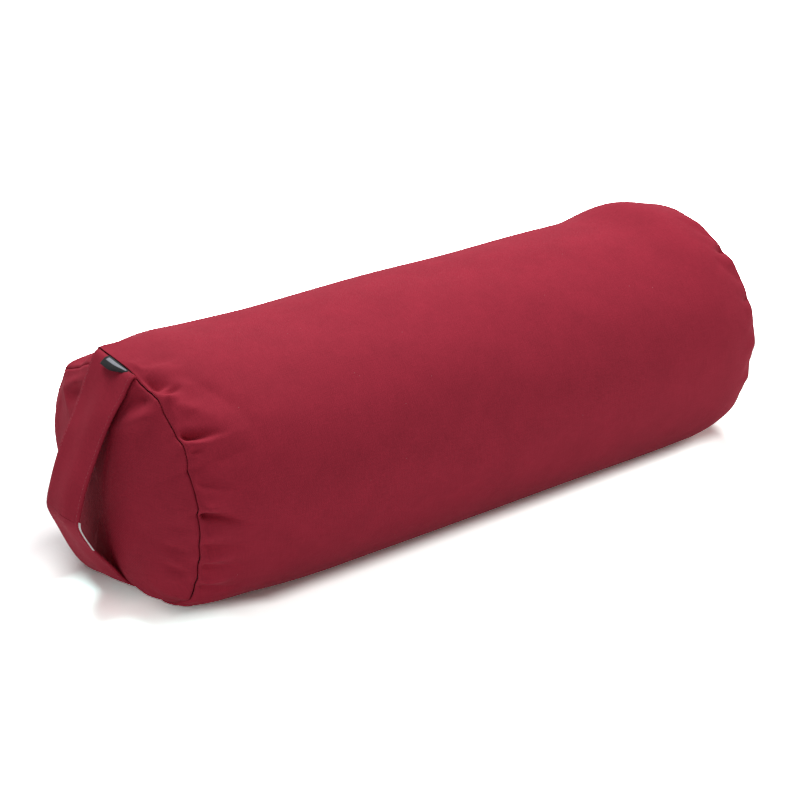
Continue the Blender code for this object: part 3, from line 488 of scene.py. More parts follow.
class Nodes:
    """Adds shader nodes to a new material, one line each."""

    def __init__(self, name, colour, roughness, metallic=0.0, sheen=0.0):
        self.material = bpy.data.materials.new(name)
        self.material.use_nodes = True
        self.tree = self.material.node_tree
        self.shader = self.tree.nodes["Principled BSDF"]
        self.shader.inputs["Base Color"].default_value = (*colour, 1)
        self.shader.inputs["Roughness"].default_value = roughness
        self.shader.inputs["Metallic"].default_value = metallic
        self.shader.inputs["Sheen Weight"].default_value = sheen
        self.material.diffuse_color = (*colour, 1)

    def add(self, kind, inputs=(), **settings):
        node = self.tree.nodes.new("ShaderNode" + kind)
        for key, value in settings.items():
            setattr(node, key, value)
        for key, value in dict(inputs).items():
            if isinstance(value, bpy.types.NodeSocket):
                self.tree.links.new(value, node.inputs[key])
            else:
                node.inputs[key].default_value = value
        return node

    def place(self, source, scale=(1, 1, 1)):
        """Coordinates from the piece itself, stretched by a scale for each axis."""
        coordinates = self.add("TexCoord").outputs[source]
        return self.add("Mapping", {"Vector": coordinates, "Scale": scale}).outputs["Vector"]

    def math(self, operation, *values):
        return self.add("Math", dict(enumerate(values)), operation=operation).outputs[0]

    def noise(self, vector, scale=1.0, detail=3.0, roughness=0.5):
        inputs = {"Vector": vector, "Scale": scale, "Detail": detail, "Roughness": roughness}
        return self.add("TexNoise", inputs).outputs["Fac"]

    def ramp(self, value, low, high, to_low=0.0, to_high=1.0):
        inputs = {"Value": value, "From Min": low, "From Max": high, "To Min": to_low, "To Max": to_high}
        return self.add("MapRange", inputs).outputs["Result"]

    def blend(self, share, first, second):
        """Mixes two colours, each a socket or three numbers."""
        node = self.add("Mix", data_type="RGBA")
        for index, value in ((0, share), (6, first), (7, second)):
            if isinstance(value, bpy.types.NodeSocket):
                self.tree.links.new(value, node.inputs[index])
            else:
                node.inputs[index].default_value = value if index == 0 else (*value, 1)
        return node.outputs[2]

    def bump(self, height, distance, strength=1.0, normal=None):
        inputs = {"Height": height, "Distance": distance, "Strength": strength}
        if normal:
            inputs["Normal"] = normal
        return self.add("Bump", inputs).outputs["Normal"]

    def finish(self, colour=None, roughness=None, normal=None):
        for key, value in (("Base Color", colour), ("Roughness", roughness), ("Normal", normal)):
            if value is not None:
                self.tree.links.new(value, self.shader.inputs[key])
        return self.material


def shade_of(colour, factor):
    """A colour made darker or paler."""
    return tuple(min(1.0, c * factor) for c in colour)


def shades(nodes, colour, value, value_range, factors):
    """Blends from one shade of a colour to another as a value runs through its range."""
    low, high = factors
    share = nodes.ramp(value, *value_range)
    return nodes.blend(share, shade_of(colour, low), shade_of(colour, high))


def woven(nodes, source, along, across):
    """Yarns that run both ways, each a noise drawn out along it."""
    warp = nodes.noise(nodes.place(source, along), detail=2)
    weft = nodes.noise(nodes.place(source, across), detail=2)
    return nodes.math("ADD", warp, weft)


def woven_cotton(name, colour, lint, twill_pitch):
    """Matte twill: fine diagonal ribs, slubby yarns both ways, faint blotches and specks of lint."""
    nodes = Nodes(name, colour, 0.82, sheen=bpy.context.scene.bolster_cover.sheen)
    for key, value in (("Sheen Roughness", 0.42), ("Sheen Tint", (1.0, 0.42, 0.5, 1)),
                       ("Specular IOR Level", 0.13)):
        nodes.shader.inputs[key].default_value = value
    yarns = woven(nodes, "UV", (90, 1900, 1), (1900, 90, 1))
    blotches = nodes.noise(nodes.place("UV"), 34, detail=5)
    rib = nodes.add("TexWave", {"Vector": nodes.place("UV"), "Scale": WAVES_PER_METRE / twill_pitch,
                                "Distortion": 1.5, "Detail": 2, "Detail Scale": 2.0},
                    wave_type="BANDS", bands_direction="DIAGONAL")
    yarn_shades = shades(nodes, colour, yarns, (0.75, 1.25), (0.86, 1.13))
    patchy = shades(nodes, colour, blotches, (0.3, 0.7), (0.86, 1.12))
    cloth = nodes.blend(0.45, yarn_shades, patchy)
    specks = nodes.add("TexVoronoi", {"Vector": nodes.place("UV"), "Scale": 120.0, "Randomness": 1.0})
    near = nodes.ramp(specks.outputs["Distance"], 0.02, 0.05, 1.0, 0.0)
    few = nodes.ramp(nodes.noise(nodes.place("UV"), 47, detail=0), 0.62, 0.66)
    fleck = nodes.math("MULTIPLY", nodes.math("MULTIPLY", near, few), lint)
    coloured = nodes.blend(fleck, cloth, LINT_COLOUR)
    ribs = nodes.bump(rib.outputs["Fac"], 0.12 * MM, 0.35)
    normal = nodes.bump(yarns, 0.18 * MM, 0.5, ribs)
    return nodes.finish(coloured, nodes.ramp(yarns, 0.6, 1.4, 0.86, 0.74), normal)


def calico(name, colour):
    """Plain unbleached cotton with dark flecks of seed husk."""
    nodes = Nodes(name, colour, 0.9, sheen=0.2)
    yarns = woven(nodes, "Object", (60, 1400, 1400), (1400, 60, 60))
    seeds = nodes.noise(nodes.place("Object"), 160, detail=1)
    cloth = shades(nodes, colour, yarns, (0.75, 1.25), (0.85, 1.08))
    coloured = nodes.blend(nodes.ramp(seeds, 0.72, 0.78), cloth, shade_of(colour, 0.55))
    return nodes.finish(coloured, None, nodes.bump(yarns, 0.3 * MM, 0.6))


def woven_tape(name, colour):
    """Herringbone tape of a zip: fine ribs across it, on the piece's own map."""
    nodes = Nodes(name, colour, 0.75, sheen=0.15)
    across = nodes.add("TexWave", {"Vector": nodes.place("UV"), "Scale": WAVES_PER_METRE / TAPE_RIB,
                                   "Distortion": 0.6}, wave_type="BANDS", bands_direction="X")
    fibres = nodes.noise(nodes.place("UV", (300, 2600, 1)), detail=2)
    ribs = nodes.math("ADD", across.outputs["Fac"], fibres)
    coloured = shades(nodes, colour, ribs, (0.4, 1.5), (0.7, 1.2))
    return nodes.finish(coloured, None, nodes.bump(ribs, 0.2 * MM, 0.7))


def moulded_plastic(name, colour):
    """Injection-moulded teeth, faintly mottled."""
    nodes = Nodes(name, colour, 0.42)
    mottle = nodes.noise(nodes.place("Object"), 900, detail=3)
    coloured = nodes.blend(mottle, shade_of(colour, 0.9), shade_of(colour, 1.12))
    rough = nodes.ramp(mottle, 0.3, 0.7, 0.36, 0.5)
    return nodes.finish(coloured, rough, nodes.bump(mottle, 0.04 * MM, 0.4))


def plated_metal(name, colour):
    """Cast and plated: faint tumbling scratches, and rubbed paler patches."""
    nodes = Nodes(name, colour, 0.32, metallic=1.0)
    scratches = nodes.noise(nodes.place("Object", (400, 5200, 5200)), detail=2)
    rubbed = nodes.noise(nodes.place("Object"), 260, detail=4)
    coloured = shades(nodes, colour, rubbed, (0.35, 0.65), (0.82, 1.15))
    rough = nodes.ramp(scratches, 0.35, 0.65, 0.24, 0.42)
    return nodes.finish(coloured, rough, nodes.bump(scratches, 0.02 * MM, 0.5))


def satin_label(name, colour, patch_box=None, patch_colour=None):
    """A label woven in satin, with one plain paler field where patch_box is given on its map."""
    nodes = Nodes(name, colour, 0.7)
    nodes.shader.inputs["Specular IOR Level"].default_value = 0.12
    threads = nodes.noise(nodes.place("UV", (200, 4200, 1)), detail=2)
    satin = shades(nodes, colour, threads, (0.3, 0.7), (0.7, 1.3))
    if patch_box:
        parts = nodes.add("SeparateXYZ", {"Vector": nodes.place("UV")}).outputs
        sides = []
        for axis, (low, high) in zip("XY", patch_box):
            half = (high - low) / 2
            off = nodes.math("ABSOLUTE", nodes.math("SUBTRACT", parts[axis], (low + high) / 2))
            sides.append(nodes.ramp(off, half - PATCH_EDGE, half + PATCH_EDGE, 1.0, 0.0))
        pale = shades(nodes, patch_colour, threads, (0.3, 0.7), (0.8, 1.15))
        satin = nodes.blend(nodes.math("MULTIPLY", *sides), satin, pale)
    return nodes.finish(satin, None, nodes.bump(threads, 0.08 * MM, 0.6))


def husk_heap(name, colour):
    """Loose three-sided husks, as a bumpy dark mass."""
    nodes = Nodes(name, colour, 0.7)
    cells = nodes.add("TexVoronoi", {"Vector": nodes.place("Object"), "Scale": 190.0})
    husks = shades(nodes, colour, cells.outputs["Color"], (0.2, 0.8), (0.6, 1.7))
    return nodes.finish(husks, None, nodes.bump(cells.outputs["Distance"], 2 * MM))


def thread(name, colour):
    """Sewing thread: a twist of three plies."""
    nodes = Nodes(name, colour, 0.6, sheen=0.3)
    twist = nodes.add("TexWave", {"Vector": nodes.place("Object"), "Scale": 300.0, "Distortion": 1.0},
                      wave_type="BANDS", bands_direction="DIAGONAL").outputs["Fac"]
    plies = nodes.blend(twist, shade_of(colour, 0.75), shade_of(colour, 1.2))
    return nodes.finish(plies, None, nodes.bump(twist, 0.1 * MM, 0.5))


# Geometry Nodes

STITCH_PITCH = 3.2 * MM
STITCH_LENGTH = 2.5 * MM
STITCH_RADIUS = 0.22 * MM


def new_tree(name, inputs):
    """A geometry tree with its input and output nodes, and a socket for each named size."""
    tree = bpy.data.node_groups.new(name, "GeometryNodeTree")
    tree.interface.new_socket("Geometry", in_out="INPUT", socket_type="NodeSocketGeometry")
    tree.interface.new_socket("Geometry", in_out="OUTPUT", socket_type="NodeSocketGeometry")
    sockets = {}
    for label, kind in inputs:
        socket = tree.interface.new_socket(label, in_out="INPUT", socket_type="NodeSocket" + kind)
        sockets[label] = socket.identifier
    nodes = {"given": tree.nodes.new("NodeGroupInput"), "made": tree.nodes.new("NodeGroupOutput")}
    return tree, nodes, sockets


def wire(tree, nodes, kinds, settings, links):
    """Adds nodes by kind, sets them as (node, setting, value) says, and links (node, output, node, input)."""
    kinds = {**kinds, "copies": "InstanceOnPoints", "real": "RealizeInstances", "finish": "SetMaterial"}
    for name, kind in kinds.items():
        nodes[name] = tree.nodes.new(kind if "Node" in kind else "GeometryNode" + kind)
    for name, setting, value in settings:
        setattr(nodes[name], setting, value)
    last = (
        ("copies", "Instances", "real", "Geometry"), ("real", "Geometry", "finish", "Geometry"),
        ("given", "Finish", "finish", "Material"), ("finish", "Geometry", "made", "Geometry"),
    )
    for node, output, to_node, to_input in (*links, *last):
        tree.links.new(nodes[node].outputs[output], nodes[to_node].inputs[to_input])


def row_tree():
    """Repeats the piece's own mesh along a straight line."""
    tree, nodes, sockets = new_tree("row_of_teeth", (
        ("Count", "Int"), ("Start", "Vector"), ("Step", "Vector"), ("Finish", "Material")))
    wire(tree, nodes, {"line": "MeshLine"}, (("line", "mode", "OFFSET"),), (
        ("given", "Count", "line", "Count"), ("given", "Start", "line", "Start Location"),
        ("given", "Step", "line", "Offset"), ("line", "Mesh", "copies", "Points"),
        ("given", "Geometry", "copies", "Instance"),
    ))
    return tree, sockets


def stitch_tree():
    """Lays one stitch after another along the piece's own line."""
    tree, nodes, sockets = new_tree("line_of_stitches", (
        ("Stitch", "Object"), ("Pitch", "Float"), ("Finish", "Material")))
    kinds = {"curve": "MeshToCurve", "even": "ResampleCurve", "stitch": "ObjectInfo",
             "tangent": "InputTangent", "turn": "FunctionNodeAlignRotationToVector"}
    wire(tree, nodes, kinds, (("even", "mode", "LENGTH"), ("turn", "axis", "X")), (
        ("given", "Geometry", "curve", "Mesh"), ("curve", "Curve", "even", "Curve"),
        ("given", "Pitch", "even", "Length"), ("given", "Stitch", "stitch", "Object"),
        ("tangent", "Tangent", "turn", "Vector"), ("even", "Curve", "copies", "Points"),
        ("stitch", "Geometry", "copies", "Instance"), ("turn", "Rotation", "copies", "Rotation"),
    ))
    return tree, sockets


def run_tree(piece, builder, values):
    """Runs a tree on a piece once, and keeps only the plain mesh that it makes."""
    tree, sockets = builder()
    modifier = piece.modifiers.new(tree.name, "NODES")
    modifier.node_group = tree
    for label, value in values.items():
        modifier[sockets[label]] = value
    piece.update_tag()
    apply_modifiers(piece)
    piece.data.shade_smooth()


def one_stitch():
    """A short thread that dips at both ends: a round bar with pinched ends."""
    mesh = bpy.data.meshes.new("one_stitch")
    with edited(mesh) as bm:
        bmesh.ops.create_uvsphere(bm, u_segments=6, v_segments=5, radius=1.0)
        turn = Matrix.Rotation(math.pi / 2, 3, "Y")
        bmesh.ops.rotate(bm, verts=bm.verts, cent=(0, 0, 0), matrix=turn)
        bmesh.ops.scale(bm, vec=(STITCH_LENGTH / 2, STITCH_RADIUS, STITCH_RADIUS), verts=bm.verts)
    return linked("one_stitch", mesh)


def stitching(name, lines, material):
    """Stitches along one or more lines of points, as one mesh."""
    points, edges = [], []
    for line in lines:
        edges += [(len(points) + i, len(points) + i + 1) for i in range(len(line) - 1)]
        points += [tuple(p) for p in line]
    mesh = bpy.data.meshes.new(name)
    mesh.from_pydata(points, edges, [])
    piece = linked(name, mesh)
    stitch = one_stitch()
    run_tree(piece, stitch_tree, {"Stitch": stitch, "Pitch": STITCH_PITCH, "Finish": material})
    remove(stitch)
    return piece


# The cover

SLOT_COLUMNS = 4
PANEL_SIDE = 53  # columns along each side of an end panel's square grid
COLUMNS = 4 * PANEL_SIDE
SEAM_ROW = 2.0 * MM  # between the first two rows at a seam
ROW_GROWTH = 1.07
WIDEST_ROW = 9.0 * MM
CLOTH = 1.0 * MM
ALLOWANCE = 7 * MM
LINER_ROOM = 4 * MM  # how far the liner stands back from the cover at the end seams
ZIP_STILL = 12 * MM  # beside the zip, where the cloth keeps to its plain surface
ZIP_CALM_FADE = 14 * MM
FAR_SHARE = 0.12  # of its settling that the cloth keeps far from the seams
GROOVE_DEPTH = 1.1 * MM  # of the seam that goes on from both ends of the zip
GROOVE_HALF = 1.6 * MM
GROOVE_START = 4 * MM  # from the zip's opening


def row_stations():
    """Places of the cloth's rows along the cover, close together at the seams."""
    steps = [0.0]
    step = SEAM_ROW
    while steps[-1] + step < SEAM_X:
        steps.append(steps[-1] + step)
        step = min(step * ROW_GROWTH, WIDEST_ROW)
    half = np.array(steps) * SEAM_X / steps[-1]
    xs = np.concatenate([half - SEAM_X, (SEAM_X - half)[::-1][1:]])
    for end in SLOT_ENDS:
        xs[np.argmin(np.abs(xs - end))] = end
    return xs


def column_places():
    """Places of the cloth's columns round the section, with the slot's two edges among them."""
    inside = np.linspace(-SLOT_HALF, SLOT_HALF, SLOT_COLUMNS, endpoint=False)
    share = np.arange(COLUMNS - SLOT_COLUMNS) / (COLUMNS - SLOT_COLUMNS)
    outside = SLOT_HALF + (GIRTH - 2 * SLOT_HALF) * share
    return COVER_ZIP_PLACE + np.concatenate([inside, outside])


def soft_waves(x, s):
    """Slow unevenness of the filling under the cloth."""
    wave = 0.5 * np.sin(s * 46 + x * 21) * np.sin(x * 17 + 1.3) + 0.35 * np.sin(s * 71 - x * 33 + 2.1)
    return wave * MM * 0.9


# Swells along the top: place along the bolster, reach and height in millimetres
TOP_SWELLS = ((-262, 32, 4.5), (-150, 55, -2.5), (262, 30, 8.0), (248, 20, 4.0))
SWELL_WIDTH = 75 * MM
SWELL_Y = 10 * MM  # the line along which the swells are highest
GATHER_SEEDS = ((11, -1), (23, 1))  # a seed for each end


def top_swell(x, off):
    """How high the top stands over its plain section at x, a distance off its middle line."""
    height = 0.0
    for middle, reach, high in TOP_SWELLS:
        along = (x / MM - middle) / reach
        height = height + high * MM * np.exp(-(along**2) - (off / SWELL_WIDTH) ** 2)
    return height


def cover_folds(x, s):
    """Inward depth of every fold, gather and unevenness of the cover."""
    look = bpy.context.scene.bolster_cover
    folds = list(FRONT_FOLDS + REAR_FOLDS)
    for seed, end in GATHER_SEEDS:
        folds += loose_folds(seed, end, look.gather_spacing, look.gather_depth)
    depth = fold_depth(x, s, folds)
    off = np.abs(apart(s, COVER_ZIP_PLACE))
    calm = smooth_step((off - ZIP_STILL) / ZIP_CALM_FADE)
    closed = (x < SLOT_ENDS[0] - GROOVE_START) | (x > SLOT_ENDS[1] + GROOVE_START)
    groove = np.where(closed, GROOVE_DEPTH * np.exp(-((off / GROOVE_HALF) ** 2)), 0.0)
    groove = groove * smooth_step((SEAM_X - np.abs(x)) / FOLD_FADE)
    depth = depth - top_swell(x, apart(s, place_of(SWELL_Y, HEIGHT)))
    return (depth + soft_waves(x, s)) * calm + groove


def cover_points(xs, places):
    """Where the folded cover's cloth lies, for rows at xs and columns at places, above the floor."""
    x, s = np.meshgrid(xs, places, indexing="ij")
    points = cover_surface(x, s, cover_folds(x, s))
    points[..., 2] = np.maximum(points[..., 2], 0.0)
    return x, s, points


def settled_moves(x, s, points):
    """How far the cover's cloth moves from its sculpted shape when the simulation settles it."""
    look = bpy.context.scene.bolster_cover
    rows, columns = x.shape
    full, _, _ = section_at(s)
    runs = np.linalg.norm(np.diff(points[:, columns // 3], axis=0), axis=1)
    along = np.concatenate([[0.0], np.cumsum(runs)])
    along -= along[-1] / 2
    rest = np.concatenate([(along[:, None] + 0 * s)[..., None], full], -1)
    off = np.abs(apart(s, COVER_ZIP_PLACE))
    held = (off < ZIP_STILL) | (points[..., 2] < 0.5 * MM)
    held[0] = held[-1] = True
    moves = simulate(points, grid_faces(rows, columns, True), rest, held, look) - points
    near = smooth_step(1.15 - (SEAM_X - np.abs(x)) / look.gather_reach)
    return capped(moves, look.cap) * (FAR_SHARE + (1 - FAR_SHARE) * near)[..., None]


def seam_allowance(row, inward, end):
    """Two more rows of cloth, turned in along the diagonal of the corner."""
    made = []
    for reach in (ALLOWANCE / 2, ALLOWANCE):
        moved = row.copy()
        moved[:, 0] -= end * reach * math.sqrt(0.5)
        moved[:, 1:] += inward * reach * math.sqrt(0.5)
        made.append(moved)
    return made


def make_cover_body(material):
    """The body panel: sculpted, settled by a cloth simulation, and cut open along its zip."""
    xs, places = row_stations(), column_places()
    x, s, points = cover_points(xs, places)
    moves = settled_moves(x, s, points)
    fine_xs = doubled(xs, 0, False)
    fine_places = doubled(np.concatenate([places, [places[0] + GIRTH]]), 0, False)[:-1]
    x, s, points = cover_points(fine_xs, fine_places)
    moves = doubled(doubled(moves, 0, False), 1, True)
    points = points + moves
    points[..., 2] = np.maximum(points[..., 2], 0.0)
    _, inward, _ = section_at(s[0])
    front = seam_allowance(points[0], inward, -1)[::-1]
    rear = seam_allowance(points[-1], inward, 1)
    whole = np.concatenate([np.stack(front), points, np.stack(rear)])
    rows, columns = whole.shape[:2]
    keep = np.ones((rows - 1, columns), bool)
    middle = (whole[1:, 0, 0] + whole[:-1, 0, 0]) / 2
    open_rows = (middle > SLOT_ENDS[0]) & (middle < SLOT_ENDS[1])
    open_rows[:3] = open_rows[-3:] = False
    keep[np.ix_(open_rows, np.arange(2 * SLOT_COLUMNS))] = False
    runs = np.linalg.norm(np.diff(whole[:, columns // 3], axis=0), axis=1)
    u = np.repeat(np.concatenate([[0.0], np.cumsum(runs)])[:, None], columns, 1)
    v = np.repeat(fine_places[None], rows, 0)
    faces = grid_faces(rows, columns, True, keep)
    uvs = grid_uvs(u, v, True, GIRTH, keep)
    piece = new_piece("cover_body_cloth", whole, faces, uvs, material)
    drop_loose(piece)
    thicken(piece, CLOTH)
    return piece


def drop_loose(piece):
    """Removes points that no face uses."""
    with edited(piece.data) as bm:
        bmesh.ops.delete(bm, geom=[v for v in bm.verts if not v.link_faces], context="VERTS")


# Hollows and folds of the front panel: where they lie (y, z), how deep they are (ridges are
# negative), and their half length, half width and turn in degrees from +Y towards +Z
FRONT_PANEL_FORMS = (
    ((-36, 191), 6.5, 16, 7, -22),
    ((-42, 179), -5.0, 27, 7, -28),
    ((-70, 180), 2.2, 8, 4, -30),
    ((-86, 84), 1.6, 15, 3.5, 0),
    ((-88, 73), -1.8, 12, 4, 17),
    ((-86, 66), 1.8, 13, 3.5, 5),
    ((-92, 103), 1.2, 14, 4, -10),
    ((-96, 115), -1.2, 10, 4, -8),
    ((-90, 55), -1.5, 12, 5, 25),
    ((70, 180), 3.2, 20, 3.5, -20),
    ((60, 192), -2.0, 15, 5, -27),
    ((67, 173), -3.2, 20, 4.5, -32),
    ((60, 165), 4.0, 13, 7, -32),
    ((78, 157), -1.4, 10, 3, 37),
    ((98, 122), -3.0, 34, 9, 88),
)
REAR_PANEL_FORMS = (
    ((-60, 176), 3.0, 20, 6, -50),
    ((-84, 150), 3.0, 18, 5, -26),
    ((-90, 110), 2.4, 18, 5, 0),
    ((-82, 70), 2.4, 18, 5, 28),
    ((20, 196), 2.4, 5, 18, 0),
    ((70, 170), 2.6, 18, 5, 45),
    ((92, 120), 2.2, 18, 5, 0),
    ((84, 66), 2.4, 20, 5, -35),
    ((0, 90), -2.0, 60, 50, 0),
)
RIM = 1 - 1e-6  # how far out the points on a panel's edge are, at least
PANEL_CUT = 1.07  # how much larger an end panel is cut than its ring
PUCKER_POWER = 9  # how fast the seam's puckers fade towards the middle
CROWN_POWER, FOOT_POWER = 2.4, 2.6  # how flat the crown is, and how much flatter at its foot
SAG_REACH = 45 * MM  # from the crown's middle down to where the foot is fullest
STRAP_ROOM = (3.6 * MM, 2.3 * MM)  # what the strap's upper and lower end take up in the front seam


def panel_forms(y, z, forms):
    """Inward depth of a table of hollows and folds on an end panel."""
    depth = np.zeros(y.shape)
    for (cy, cz), deep, long, wide, turn in forms:
        a = math.radians(turn)
        dy, dz = y / MM - cy, z / MM - cz
        along = (dy * math.cos(a) + dz * math.sin(a)) / long
        across = (dz * math.cos(a) - dy * math.sin(a)) / wide
        depth += deep * MM * np.exp(-(along**2) - across**2)
    return depth


def square_to_ring(side):
    """For each point of a square grid: how far out it is, and its column on the ring."""
    u, v = np.meshgrid(np.linspace(-1, 1, side + 1), np.linspace(-1, 1, side + 1), indexing="ij")
    out = np.maximum(np.abs(u), np.abs(v))
    safe = np.where(out > 0, out, 1)
    a, b = u / safe, v / safe
    sides = [b <= -1 + 1e-9, a >= 1 - 1e-9, b >= 1 - 1e-9]
    turn = np.select(sides, [(a + 1) / 2, 1 + (b + 1) / 2, 2 + (1 - a) / 2], 3 + (1 - b) / 2)
    return out, np.mod(turn * side, 4 * side)


def panel_points(side, places, facing, forms):
    """A crowned end panel over a square grid whose edge lies on the seam's ring."""
    out, column = square_to_ring(side)
    wrapped = np.concatenate([places, [places[0] + GIRTH]])
    s = np.interp(column, np.arange(len(wrapped)), wrapped)
    seam = np.full(s.shape, facing * SEAM_X)
    ring = cover_surface(seam, s)
    puckered = cover_surface(seam, s, cover_folds(seam, s)) - ring
    _, inward, _ = section_at(s)
    look = bpy.context.scene.bolster_cover
    room = np.full(s.shape, look.seam_gap)
    if facing < 0:
        at_strap = 1 - smooth_step((np.abs(ring[..., 1] - STRAP_Y) - STRAP_WIDTH / 2) / (4 * MM))
        room = room + np.where(ring[..., 2] > CROWN_HEIGHT, *STRAP_ROOM) * at_strap
    room = room * math.sqrt(0.5)
    ring[..., 1:] += inward * room[..., None]
    bulge = END_CROWN + (look.front_bulge if facing < 0 else 0.0)
    y = out * ring[..., 1] + out**PUCKER_POWER * puckered[..., 1]
    z = CROWN_HEIGHT + out * (ring[..., 2] - CROWN_HEIGHT) + out**PUCKER_POWER * puckered[..., 2]
    sag = smooth_step((CROWN_HEIGHT - z) / SAG_REACH)
    crown = bulge * (1 - out ** (CROWN_POWER + FOOT_POWER * sag))
    z = z - look.front_sag * sag * smooth_step((1 - out) * 7) * (facing < 0)
    hollow = panel_forms(y, z, forms) * smooth_step((1 - out) * 9)
    least = END_CROWN * (1 - out**2) - LINER_ROOM * smooth_step(out * 3 - 1.5)
    x = facing * (SEAM_X + room * out + np.maximum(crown - hollow, least))
    return np.stack([x, y, z], -1), s, out


def panel_moves(points, out, facing):
    """How far an end panel's cloth moves outwards when the simulation settles it."""
    look = bpy.context.scene.bolster_cover
    side = len(points) - 1
    middle = np.array([facing * SEAM_X, 0.0, CROWN_HEIGHT])
    rest = (points - middle) * np.array([0.0, PANEL_CUT, PANEL_CUT])
    faces = grid_faces(side + 1, side + 1, False)
    if facing > 0:
        faces = faces[:, ::-1]
    moves = capped(simulate(points, faces, rest, out > RIM, look) - points, look.cap * 0.6)
    moves[..., 0] = facing * np.maximum(facing * moves[..., 0], 0.0)
    return moves


def make_end_panel(name, facing, forms, material):
    """A round panel, settled by a cloth simulation, with its edge turned in along the seam."""
    places = column_places()
    points, _, out = panel_points(PANEL_SIDE, places, facing, forms)
    moves = panel_moves(points, out, facing)
    fine_places = doubled(np.concatenate([places, [places[0] + GIRTH]]), 0, False)[:-1]
    side = 2 * PANEL_SIDE
    points, s, out = panel_points(side, fine_places, facing, forms)
    moves = doubled(doubled(moves, 0, False), 1, False)
    moves[out > RIM] = 0.0
    points = (points + moves).reshape(-1, 3)
    index = np.arange(len(points)).reshape(side + 1, side + 1)
    rim = np.concatenate([index[:-1, 0], index[-1, :-1], index[:0:-1, -1], index[0, :0:-1]])
    _, inward, _ = section_at(s.reshape(-1)[rim])
    whole = np.concatenate([points] + seam_allowance(points[rim], inward, facing))
    faces = grid_faces(side + 1, side + 1, False).tolist()
    turned_in = len(points) + np.arange(len(rim))
    for first, second in ((rim, turned_in), (turned_in, turned_in + len(rim))):
        faces += np.stack([first, np.roll(first, -1), np.roll(second, -1), second], 1).tolist()
    piece = new_piece(name, whole, faces, None, material)
    with edited(piece.data) as bm:
        bmesh.ops.recalc_face_normals(bm, faces=bm.faces)
        crown = Vector((0, CROWN_HEIGHT))
        middle = min(bm.faces, key=lambda f: (f.calc_center_median().yz - crown).length)
        if middle.normal.x * facing < 0:
            bmesh.ops.reverse_faces(bm, faces=bm.faces)
    corners = np.empty(len(piece.data.loops), np.int32)
    piece.data.loops.foreach_get("vertex_index", corners)
    set_map(piece.data, whole[corners][:, 1:])
    thicken(piece, CLOTH)
    return piece


# The strap and the labels


def smooth_path(points, step):
    """Points at even steps on a smooth curve through the given ones."""
    p = np.array(points, float)
    ends = np.concatenate([[2 * p[0] - p[1]], p, [2 * p[-1] - p[-2]]])
    dense = []
    for i in range(len(p) - 1):
        a, b, c, d = ends[i : i + 4]
        t = np.linspace(0, 1, 24, endpoint=False)[:, None]
        bend, twist = 2 * a - 5 * b + 4 * c - d, 3 * b - a - 3 * c + d
        dense.append(0.5 * (2 * b + (c - a) * t + bend * t**2 + twist * t**3))
    dense = np.concatenate(dense + [p[-1:]])
    lengths = np.concatenate([[0.0], np.cumsum(np.linalg.norm(np.diff(dense, axis=0), axis=1))])
    count = max(2, int(lengths[-1] / step))
    even = np.linspace(0, lengths[-1], count + 1)
    return np.stack([np.interp(even, lengths, dense[:, i]) for i in range(p.shape[1])], 1), even


def band_ring(half_width, half_thickness, across=14, corner=4):
    """A flat band's cross-section as (across, up) points, with rounded edges."""
    straight = half_width - half_thickness
    flat = np.linspace(-1, 1, across) * straight
    ring = []
    for side in (1, -1):
        ring += [(a, side * half_thickness) for a in flat[::side]]
        for i in range(1, corner):
            a = side * math.pi / 2 - math.pi * i / corner
            ring.append((side * straight + half_thickness * math.cos(a), half_thickness * math.sin(a)))
    return np.array(ring)


def make_tube(name, points, ring, u, v, girth, material):
    """A closed tube from rows of one ring's points, with flat ends and its own map."""
    rows, columns = points.shape[:2]
    faces = grid_faces(rows, columns, True).tolist()
    faces += [list(range(columns)), [(rows - 1) * columns + k for k in range(columns)][::-1]]
    uvs = grid_uvs(np.repeat(u[:, None], columns, 1), np.repeat(v[None], rows, 0), True, girth)
    uvs = np.concatenate([uvs.reshape(-1, 2), ring, ring[::-1]])
    piece = new_piece(name, points, faces, uvs, material)
    with edited(piece.data) as bm:
        bmesh.ops.recalc_face_normals(bm, faces=bm.faces)
    return piece


def make_band(name, path, lengths, middle_y, half_width, half_thickness, shape, material, warp=None):
    """A band along (x, z) points. shape(along, across) gives how far its middle is lifted off the path,
    and warp(along, across) moves it along Y and Z."""
    tangent = np.gradient(path, axis=0)
    tangent /= np.linalg.norm(tangent, axis=1)[:, None]
    normal = np.stack([tangent[:, 1], -tangent[:, 0]], 1)
    ring = band_ring(half_width, half_thickness)
    lift = shape(lengths[:, None], ring[None, :, 0]) + ring[None, :, 1]
    points = np.empty((len(path), len(ring), 3))
    points[..., 0] = path[:, :1] + normal[:, :1] * lift
    points[..., 1] = middle_y + ring[None, :, 0]
    points[..., 2] = path[:, 1:] + normal[:, 1:] * lift
    if warp:
        points[..., 1:] += warp(lengths[:, None], ring[None, :, 0])
    around = np.concatenate([[0.0], np.cumsum(np.linalg.norm(np.diff(ring, axis=0), axis=1))])
    girth = around[-1] + np.linalg.norm(ring[0] - ring[-1])
    piece = make_tube(name, points, ring, lengths, around, girth, material)
    shade_smooth_but(piece, 60)
    return piece, normal


STRAP_FREE = (12 * MM, 235 * MM)  # along the strap, where it leaves one seam and comes to the other
STRAP_FREE_FADE = 40 * MM
STRAP_TURN = 8 * MM  # how far the near edge of the lower end turns outwards
STRAP_TURN_FROM, STRAP_TURN_FADE = 135 * MM, 70 * MM


